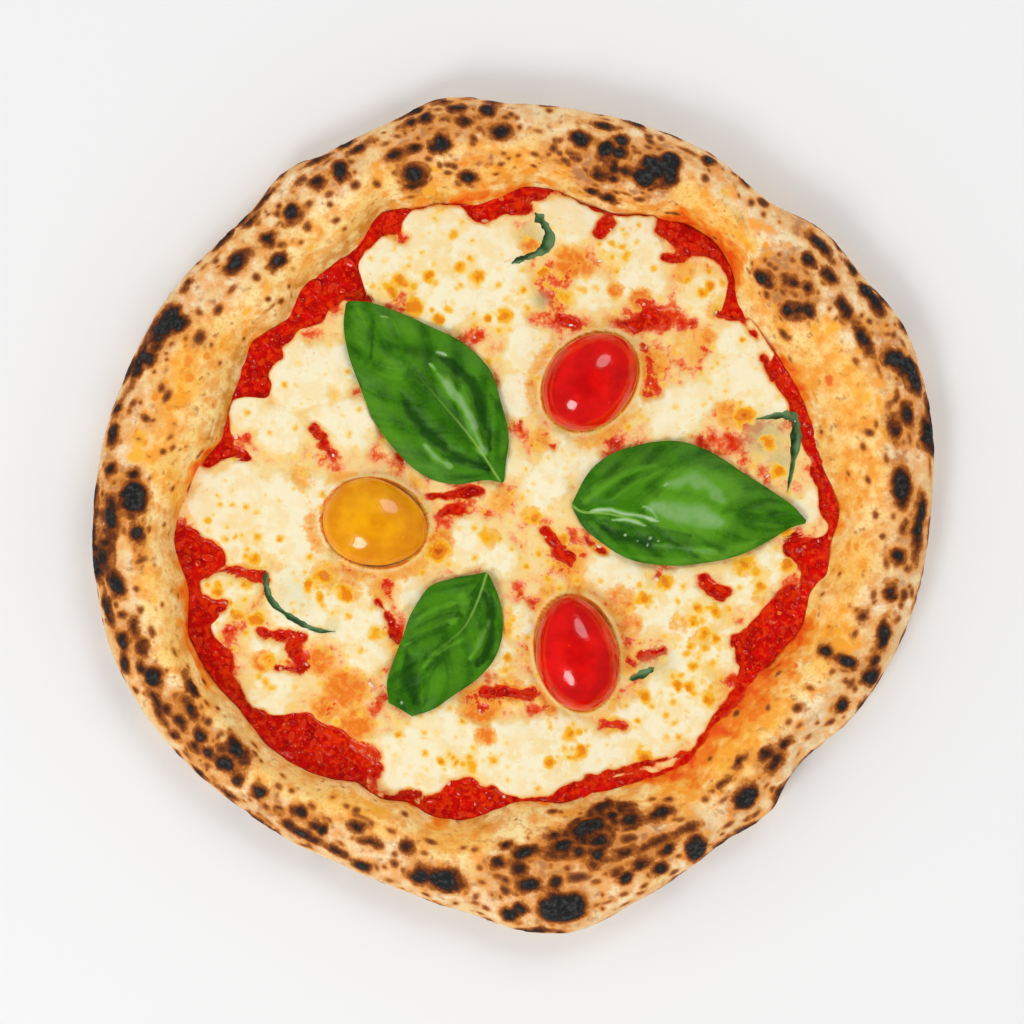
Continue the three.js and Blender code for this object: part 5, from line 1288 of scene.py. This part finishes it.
# The blade: share of the length, width to the left, width to the right. Veins: how many pairs, and how far
# they sweep towards the tip. Strokes are folds and ridges: half width, rise, painted tone, and the line they
# follow. The painted tone runs from -1, painted shade in a fold, to 1, painted light on a ridge; above 1 it
# adds a painted highlight.
LEAVES = {
    "basil_leaf_left": {
        "stem": (-3.6, 10.9), "tip": (-55.1, 70.3), "crown": 3.4, "ripple": 0.7, "waves": 2.5,
        "blade": [
            (0, 0.5, 0.5), (0.05, 3.6, 4.6), (0.12, 12, 10.7), (0.25, 18.6, 16.4), (0.42, 20, 21.2),
            (0.55, 19, 20.2), (0.7, 15, 15.3), (0.85, 10.2, 9.8), (0.95, 5, 4.8), (1, 0.6, 0.6),
        ],
        "veins": 6, "sweep": 0.26,
        "midrib": [(-4.6, 11.2), (-12.9, 24.1), (-19.5, 32), (-27.4, 41.2), (-32.7, 47.2), (-39.9, 53.1)],
        "strokes": [
            (2.2, -0.3, -0.7, [(-43.2, 56.8), (-37, 54.5), (-29.4, 54.1), (-24.4, 52.5)]),
            (1.6, -1.5, -1.1,
             [(-24.4, 52.1), (-19.5, 49.2), (-14.2, 44.6), (-11.6, 37.3), (-9.6, 29.4), (-8.2, 22.1)]),
            (1, -0.6, -0.7, [(-7.3, 39.6), (-4, 34.6), (-3, 28.1)]),
            (1.4, -1.6, -1.1,
             [(-37.3, 40.3), (-34.3, 34.6), (-29.4, 28.1), (-24.4, 23.8), (-19.5, 19.8), (-8.9, 15.5)]),
            (4.4, -0.4, -0.5, [(-34.3, 42.6), (-27.7, 34), (-19.5, 24.8)]),
            (0.6, -0.4, -0.8, [(-46.5, 64.4), (-46.9, 56.1), (-47.2, 51.8)]),
            (2.4, 0.2, 0.5, [(-51.5, 67.7), (-50.2, 57.8)]),
            (3, 0.2, 0.45, [(-42.6, 64.4), (-33.7, 59.7)]),
            (3.4, 0.2, 0.65, [(-40.3, 50.5), (-37.6, 46.2)]),
            (1.5, 0.6, 1.15, [(-25.7, 47.2), (-20.1, 40.6), (-15.2, 34), (-11.9, 24.8), (-9.9, 20.8)]),
            (0.9, 0.4, 0.8, [(-16.8, 42.9), (-14.5, 37.3)]),
            (1, 0.4, 1.15, [(-29.4, 23.1), (-25.7, 18.8), (-21.1, 16.2)]),
            (2.4, 0.1, 0.4, [(-50.8, 46.2), (-44.2, 31.4), (-34.3, 18.2), (-24.4, 12.9)]),
            (0.5, 0.2, 1.6, [(-25.4, 53.8), (-22.4, 52.8)]),
            (0.5, 0.2, 1.5, [(-27.7, 49.8), (-25.7, 47.5)]),
            (0.4, 0.1, 1.2, [(-44.2, 65.7), (-41.6, 65.3)]),
        ],
    },
    "basil_leaf_right": {
        "stem": (19.1, 3.3), "tip": (96.4, -2.3), "crown": 4.4, "ripple": 0.5, "waves": 2,
        "blade": [
            (0, 0.5, 0.5), (0.05, 9.6, 6.5), (0.12, 16, 10.8), (0.25, 21, 16.2), (0.42, 23.6, 17.7),
            (0.56, 21.3, 16.3), (0.72, 14.8, 12.8), (0.85, 9.3, 7.1), (0.94, 5, 2.2), (1, 0.6, 0.5),
        ],
        "veins": 7, "sweep": 0.3,
        "midrib": [(19.1, 3.3), (22.4, 0.7), (28.4, 1), (36.6, -0.7), (41.6, -2.3)],
        "strokes": [
            (1.3, 0.3, 0.6, [(23.4, 5), (30, 9.9), (38.3, 14.2), (46.5, 16.5)]),
            (0.8, 0.2, 0.5, [(32.3, 5), (41.6, 11.6), (50.8, 14.9)]),
            (0.7, -0.2, -0.5, [(28.4, 5.9), (38.3, 12.2), (45.5, 14.9)]),
            (3, 0, -0.4, [(33.3, 18.8), (46.5, 22.4), (59.7, 20.5), (69.6, 15.5)]),
            (3.6, 0.2, 1.02, [(51.5, 10.9), (61.4, 12.2), (68.6, 5)]),
            (5, 0.2, 1.08, [(46.5, 2.3), (58.1, 0.3), (68, -2.3)]),
            (4, 0.2, 0.8, [(61.4, 14.9), (72.9, 7.6)]),
            (0.6, 0.3, 1.7, [(25.1, 1), (30.4, 2.3), (35.6, 0.3), (41.6, 0), (48.2, -2.3)]),
            (0.5, 0.3, 1.6, [(32.3, -1.7), (38.3, -1.3), (43.2, -3.6)]),
            (0.4, 0.2, 1.5, [(41.6, 3.3), (45.5, 1.7), (47.2, -1.3)]),
            (0.4, 0.1, 1.3, [(49.5, 9.9), (52.1, 11.2)]),
            (2, -0.8, -1.1, [(29.7, -4.3), (38.3, -8.2), (49.8, -10.2), (58.1, -10.9)]),
            (1, 0.5, 0.9, [(46.5, -9.9), (61.4, -11.6), (66.7, -12.5)]),
            (3, 0, -0.5, [(82.8, 1.7), (92.7, -2.3)]),
            (1.3, 0.2, 0.6, [(38.3, -13.5), (54.8, -15.8), (68, -13.5), (81.2, -8.2)]),
            (0.6, -0.3, -0.6, [(28.4, -1.7), (41.6, -4.3), (58.1, -6.9)]),
            # Painted highlights of five small water drops.
            (0.35, 0.2, 1.8, [(36.6, -6.6), (36.8, -6.6)]),
            (0.4, 0.2, 1.8, [(40.6, -8.6), (40.8, -8.6)]),
            (0.35, 0.2, 1.8, [(44.9, -7.6), (45, -7.6)]),
            (0.35, 0.2, 1.8, [(43.9, -9.9), (44.1, -9.9)]),
            (0.35, 0.2, 1.8, [(47.5, -8.6), (47.7, -8.6)]),
        ],
    },
    "basil_leaf_lower": {
        "stem": (-8.9, -19.1), "tip": (-36.3, -65), "crown": 2.8, "ripple": 1.1, "waves": 1.5,
        "blade": [
            (0, 0.5, 0.5), (0.05, 4.6, 3.4), (0.12, 9, 7.9), (0.28, 14.8, 14.4), (0.44, 16.6, 14.7),
            (0.6, 15, 13.2), (0.76, 11.1, 11.7), (0.9, 7.6, 9.8), (1, 3, 6),
        ],
        "veins": 5, "sweep": 0.32,
        "midrib": [
            (-8.9, -19.1), (-11.2, -26.4), (-13.2, -31.4), (-16.2, -37.3), (-22.8, -42.9),
            (-27.7, -46.2), (-29.7, -49.5),
        ],
        "strokes": [
            (1.3, -1.6, -1.1,
             [(-10.2, -24.8), (-7.9, -31.4), (-7.3, -38.6), (-9.2, -45.2), (-12.2, -49.8)]),
            (2.4, -1.6, -1, [(-36, -46.2), (-35, -54.5), (-32.3, -61.1)]),
            (1, 0.6, 0.8, [(-18.5, -34), (-24.4, -37.3), (-31, -39.9), (-36.6, -42.9)]),
            (0.9, 0.4, 0.6, [(-19.5, -29), (-26.1, -31), (-32.7, -34.6)]),
            (1, 0.5, 0.7, [(-17.2, -41.2), (-24.4, -45.2), (-29.7, -49.8)]),
            (0.7, -0.6, -0.9, [(-21.8, -36), (-27.7, -38.9), (-36, -41.9)]),
            (0.7, -0.5, -0.7, [(-19.5, -32), (-26.1, -34), (-32.7, -37.3)]),
            (0.7, -0.5, -0.7, [(-18.5, -43.2), (-24.4, -46.5), (-28.4, -50.5)]),
            (0.8, -0.5, -0.7, [(-14.5, -34), (-17.2, -38.6)]),
            (1.6, 0.2, 0.6, [(-17.2, -26.4), (-16.8, -32)]),
            (0.9, 0.6, 0.9, [(-8.2, -35.3), (-11.2, -42.9), (-14.5, -47.2)]),
            (0.7, 0.3, 0.8, [(-37, -44.6), (-38.3, -51.8)]),
            (0.5, 0.3, 1.6, [(-37.3, -62), (-37, -62)]),
            (0.9, -0.2, -0.8, [(-38.6, -60.4), (-36, -64.4)]),
            (3, 0.1, 0.3, [(-21.1, -51.2), (-27.7, -57.8)]),
        ],
    },
}


def sheet_mesh(name, above, below, marks):
    """A closed thin sheet between two grids of points."""
    columns, rows = above.shape[:2]
    layer = columns * rows
    a = (np.arange(columns - 1)[:, None] * rows + np.arange(rows - 1)).ravel()
    upper = np.stack([a, a + rows, a + rows + 1, a + 1], axis=-1)
    lower = layer + upper[:, ::-1]
    i = np.arange(columns - 1) * rows
    j = np.arange(rows - 1)
    end = (columns - 1) * rows
    walls = [(i + rows, i), (i + rows - 1, i + 2 * rows - 1), (j, j + 1), (end + j + 1, end + j)]
    sides = [np.stack([p, q, layer + q, layer + p], axis=-1) for p, q in walls]
    faces = np.concatenate([upper, lower, *sides]).tolist()
    points = np.concatenate([above.reshape(-1, 3), below.reshape(-1, 3)])
    doubled = {mark: np.tile(values.ravel(), 2) for mark, values in marks.items()}
    return skin_mesh(name, points, faces, doubled)


def along_path(x, y, path):
    """Distance from a rounded line through several points, and the share of it passed there."""
    line = np.array(path, float)
    for _ in range(2):
        cut = np.stack([0.75 * line[:-1] + 0.25 * line[1:], 0.25 * line[:-1] + 0.75 * line[1:]], axis=1)
        line = np.concatenate([line[:1], cut.reshape(-1, 2), line[-1:]])
    away = np.stack([along_line(x, y, *start, *end) for start, end in zip(line, line[1:])])
    return away.min(axis=0), (away.argmin(axis=0) + 0.5) / len(away)


def make_leaf(name, leaf):
    u = np.linspace(0, 1, LEAF_COLUMNS)[:, None]
    side = np.linspace(-1, 1, LEAF_ROWS + 1)[None, :]
    stem = np.array(leaf["stem"])
    along = np.array(leaf["tip"]) - stem
    length = np.linalg.norm(along)
    to_left = np.array((-along[1], along[0])) / length
    left = smooth_curve([(s, w) for s, w, _ in leaf["blade"]], u)
    right = smooth_curve([(s, w) for s, _, w in leaf["blade"]], u)
    width = np.where(side > 0, left, right)
    offset = side * width
    x = stem[0] + along[0] * u + to_left[0] * offset
    y = stem[1] + along[1] * u + to_left[1] * offset
    height = leaf["crown"] * np.sin(np.pi * u) * (1 - side**2)
    height += leaf["ripple"] * side**2 * (1 + np.sin(2 * np.pi * leaf["waves"] * u + 2 * side))
    out = np.abs(side)
    spot = points_at(x, y, 7 * side)
    swept = (u - leaf["sweep"] * out**1.25 + 0.012 * lumps(spot, 9, 61)) * leaf["veins"] + 0.25 * (side > 0)
    from_vein = np.abs(swept - np.round(swept)) / leaf["veins"] * length
    open_blade = soft_step(out, 0.04, 0.2) * soft_step(u, 0.03, 0.12) * soft_step(-u, -0.99, -0.85)
    vein = np.exp(-((from_vein / 0.55) ** 2)) * open_blade * soft_step(-out, -1, -0.55)
    from_midrib, _ = along_path(x, y, leaf["midrib"])
    midrib = np.exp(-((from_midrib / 0.48) ** 2)) * np.clip(1.1 - 1.3 * u, 0.12, 1)
    swell = np.sin(np.pi * np.clip(from_vein / (length / leaf["veins"]), 0, 0.5)) ** 0.8
    height += 0.3 * swell * open_blade * soft_step(-out, -1, -0.6)
    height += 0.5 * lumps(spot, 8, 62) * open_blade + 0.12 * lumps(spot, 3.2, 63) * open_blade
    height -= 0.12 * vein + MIDRIB_DEPTH * np.exp(-((from_midrib / 1.5) ** 2)) * np.sin(np.pi * u)
    height += 0.25 * midrib * (1 - u)
    streaks = points_at(9 * swept, 1.5 * side)
    light, dark = 0 * x, 0 * x
    # Each stroke's depth is its painted tone: painted shade in a fold below 0, painted light on a ridge
    # above 0.
    for half_width, rise, depth, path in leaf["strokes"]:
        away, passed = along_path(x, y, path)
        reach = 1.5 * half_width * (0.35 + 0.65 * np.sin(np.pi * passed) ** 0.6)
        stroke = np.exp(-(((away + 0.7 * min(half_width, 1.4) * lumps(spot, 3, 64)) / reach) ** 2))
        height += 0.7 * rise * stroke * soft_step(1 - out, 0, 0.25)
        light = np.maximum(light, depth * stroke)
        dark = np.minimum(dark, depth * stroke)
    shade = np.minimum(light, 1) + dark + 0.16 * lumps(streaks, 1, 65) + 0.08 * lumps(streaks, 0.4, 66)
    middle = cheese_level(x, y) + LEAF_REST + np.maximum(height, -0.5)
    half = LEAF_THICKNESS / 2 * (1 - 0.75 * out**4) * (1 - 0.5 * u**6)
    points, up = points_at(x, y, middle), points_at(0, 0, half)
    marks = {
        "vein": np.maximum(0.12 * vein, midrib),
        "swell": swell * open_blade,
        "shade": np.clip(shade, -1.3, 1.3),
        # Painted highlight and sheen, where the painted light on a ridge goes over 0.8.
        "glint": np.clip(0.75 * (light - 0.8), 0, 0.8),
    }
    return sheet_mesh(name, points + up, points - up, marks)


def leaf_finish(name, deep, mid, light, vein_tone, gloss):
    material, tree, skin, place = new_finish(name)
    colour = washed(tree, tone(deep), mottle(tree, place, 8, 4, 0.6), (0.35, 0.65, 1, mid))
    colour = washed(tree, colour, mark(tree, "swell"), (0.3, 1, 0.3, light))
    colour = washed(tree, colour, mottle(tree, place, 0.9, 3, 0.6), (0.5, 0.75, 0.25, light))
    # The shade mark: on the fresh leaves painted shade in the folds and painted light on the ridges; on the
    # baked strips darker at one edge and lighter at the other.
    shade = plus(tree, mark(tree, "shade"), mottle(tree, place, 2.4, 3), 0.3)
    colour = washed(tree, colour, shade, (0.15, 1.05, 0.9, light), (0.0, -1.0, 0.85, "0C4000"))
    # Painted sheen and highlights, in soft patches.
    sheen_patches = mottle(tree, place, 4, 2)
    colour = zoned(tree, colour, mark(tree, "glint"), sheen_patches, (0.3, 0.6, 0.7, 1.1), "CCE0C4")
    colour = washed(tree, colour, mark(tree, "vein"), (0.15, 0.9, 0.7, vein_tone))
    fill_inputs(tree, skin, {
        "Base Color": colour, "Roughness": gloss, "Specular IOR Level": 0.14,
        "Subsurface Weight": 0.05, "Subsurface Radius": (0.001, 0.002, 0.0006),
    })
    raise_bumps(tree, skin, (mottle(tree, place, 1.6, 3), 0.2), (mottle(tree, place, 0.5, 2), 0.04))
    return material


fresh_leaf = leaf_finish("fresh_basil", "265C00", "3A7A00", "5E9E1E", "92BA4E", 0.42)
for name, leaf in LEAVES.items():
    place_piece(name + "_blade", make_leaf(name + "_blade", leaf), fresh_leaf, "fresh_basil", name)

# ---- Baked basil ----
# Leaves that went into the oven under the cheese. They wilted dark, and only an edge of each shows at the
# surface, as a narrow curved strip.

# Each edge that shows: x, y and half width along it.
BAKED_BASIL = {
    "baked_basil_top": [
        (6.9, 100, 1.3), (9.6, 96.7, 1.5), (11.9, 92.1, 1.3), (10.9, 88.8, 1.5), (6.9, 86.1, 0.8),
        (2.6, 84.8, 0.7), (-0.7, 83.2, 1),
    ],
    "baked_basil_right": [
        (80.2, 31.7, 0.5), (86.1, 32.7, 0.8), (91.1, 33.3, 1.2), (93.4, 32, 1.3), (93.4, 28.1, 1.3),
        (93.1, 23.1, 1), (92.4, 18.2, 0.7), (91.4, 12.2, 0.5), (90.4, 7.6, 0.3),
    ],
    "baked_basil_left": [
        (-82.5, -18.5, 1.2), (-82.2, -21.4, 1.2), (-81.2, -27.1, 0.8), (-78.5, -30.4, 0.7),
        (-74.6, -33.3, 0.7), (-70, -36, 0.7), (-64.7, -38.3, 0.5), (-59.1, -38.6, 0.3),
    ],
    "baked_basil_lower": [
        (38.3, -54.5, 0.8), (40.6, -53.5, 1.2), (44.2, -51.8, 0.8), (46.2, -50.5, 0.5),
    ],
}
BAKED_BASIL_PROUD = 0.25
BAKED_BASIL_LOWEST_Z = 5.2


def make_baked_strip(name, path):
    knots = np.array(path)
    run = np.append(0, np.cumsum(np.linalg.norm(np.diff(knots[:, :2], axis=0), axis=1)))
    u = np.linspace(0, run[-1], 110)
    v = np.linspace(-1, 1, 15)[None, :]
    cx, cy, half_width = (smooth_curve(list(zip(run, knots[:, i])), u)[:, None] for i in range(3))
    for _ in range(60):
        cx[1:-1] = (cx[:-2] + 2 * cx[1:-1] + cx[2:]) / 4
        cy[1:-1] = (cy[:-2] + 2 * cy[1:-1] + cy[2:]) / 4
    dx, dy = np.gradient(cx[:, 0])[:, None], np.gradient(cy[:, 0])[:, None]
    across = np.hypot(dx, dy)
    spot = points_at(cx, cy)
    tip = np.clip(12 * u * (run[-1] - u) / run[-1] ** 2, 0.25, 1)[:, None]
    half_width = 1.35 * half_width * tip * (1 + 0.45 * lumps(spot, 3, 71) + 0.25 * lumps(spot, 1.2, 76))
    x = cx - dy / across * v * half_width
    y = cy + dx / across * v * half_width
    top = np.maximum(SAUCE_Z + cheese_rise(cheese_thickness(x, y)), BAKED_BASIL_LOWEST_Z)
    place = points_at(x, y)
    middle = top + BAKED_BASIL_PROUD * (1 - v**2) + 0.2 * lumps(place, 2.4, 73) - 0.5 * v**4
    points, up = points_at(x, y, middle), points_at(0, 0, LEAF_THICKNESS / 2)
    marks = {
        "vein": 0 * x,
        "swell": 0.5 + 0.5 * lumps(place, 2, 74),
        "shade": 0.35 + 0.7 * v + 0.5 * lumps(place, 2.4, 75),
        "glint": 0 * x,
    }
    return sheet_mesh(name, points + up, points - up, marks)


wilted_leaf = leaf_finish("baked_basil", "16300C", "264E1C", "6A8C5E", "6E9460", 0.4)
for name, path in BAKED_BASIL.items():
    place_piece(name + "_strip", make_baked_strip(name + "_strip", path), wilted_leaf, "baked_basil", name)

# ---- Studio ----
# A plain pale floor, a white sky that is dim overhead, a soft lamp in front on the left and a weaker one
# behind on the right. The camera looks straight down.

floor_mesh = bpy.data.meshes.new("floor")
floor_mesh.from_pydata([(-3, -3, 0), (3, -3, 0), (3, 3, 0), (-3, 3, 0)], [], [(0, 1, 2, 3)])
floor = add_object("floor", floor_mesh)
floor.location.z = -0.0002
floor_finish = bpy.data.materials.new("pale_floor")
floor_finish.use_nodes = True
floor_tree = floor_finish.node_tree
floor_look = {"Base Color": (0.88, 0.88, 0.88, 1), "Roughness": 1}
fill_inputs(floor_tree, floor_tree.nodes["Principled BSDF"], floor_look)
floor_mesh.materials.append(floor_finish)


def add_lamp(name, bearing, elevation, distance, size, power):
    light = bpy.data.lights.new(name, "AREA")
    light.shape = "DISK"
    light.size = size
    light.energy = power
    lamp = add_object(name, light)
    bearing, elevation = math.radians(bearing), math.radians(elevation)
    level = distance * math.cos(elevation)
    lamp.location = (level * math.cos(bearing), level * math.sin(bearing), distance * math.sin(elevation))
    lamp.rotation_euler = (math.pi / 2 - elevation, 0, bearing + math.pi / 2)


add_lamp("key_lamp", -125, 45, 1.6, 0.6, 7.5)
add_lamp("side_panel", 60, 50, 1.8, 0.8, 5)
world = bpy.data.worlds.new("white_sky")
world.use_nodes = True
sky = world.node_tree
# White up to the dim patch overhead, and dim all over in reflections.
height = add_node(sky, "SeparateXYZ", {0: add_node(sky, "TexCoord", {}).outputs["Generated"]}).outputs["Z"]
fall = {"From Min": 0.8, "From Max": 0.93, "To Min": 0.94, "To Max": 0.04}
dimmed = add_node(sky, "MapRange", {"Value": height, **fall}).outputs[0]
glossy = add_node(sky, "LightPath", {}).outputs["Is Glossy Ray"]
strength = add_node(sky, "Mix", {"Factor": glossy, "A": dimmed, "B": 0.07}).outputs["Result"]
fill_inputs(sky, sky.nodes["Background"], {"Color": (1, 1, 1, 1), "Strength": strength})
bpy.context.scene.world = world
bpy.context.scene.view_settings.view_transform = "Standard"

CAMERA_DISTANCE = 1.2
# The width seen at this level.
VIEW_WIDTH = 0.3379
VIEW_LEVEL = 0.01
lens = bpy.data.cameras.new("camera")
lens.sensor_width = 36
lens.lens = 36 * (CAMERA_DISTANCE - VIEW_LEVEL) / VIEW_WIDTH
camera = add_object("camera", lens)
camera.location = (-0.00066, 0.001, CAMERA_DISTANCE)
bpy.context.scene.camera = camera
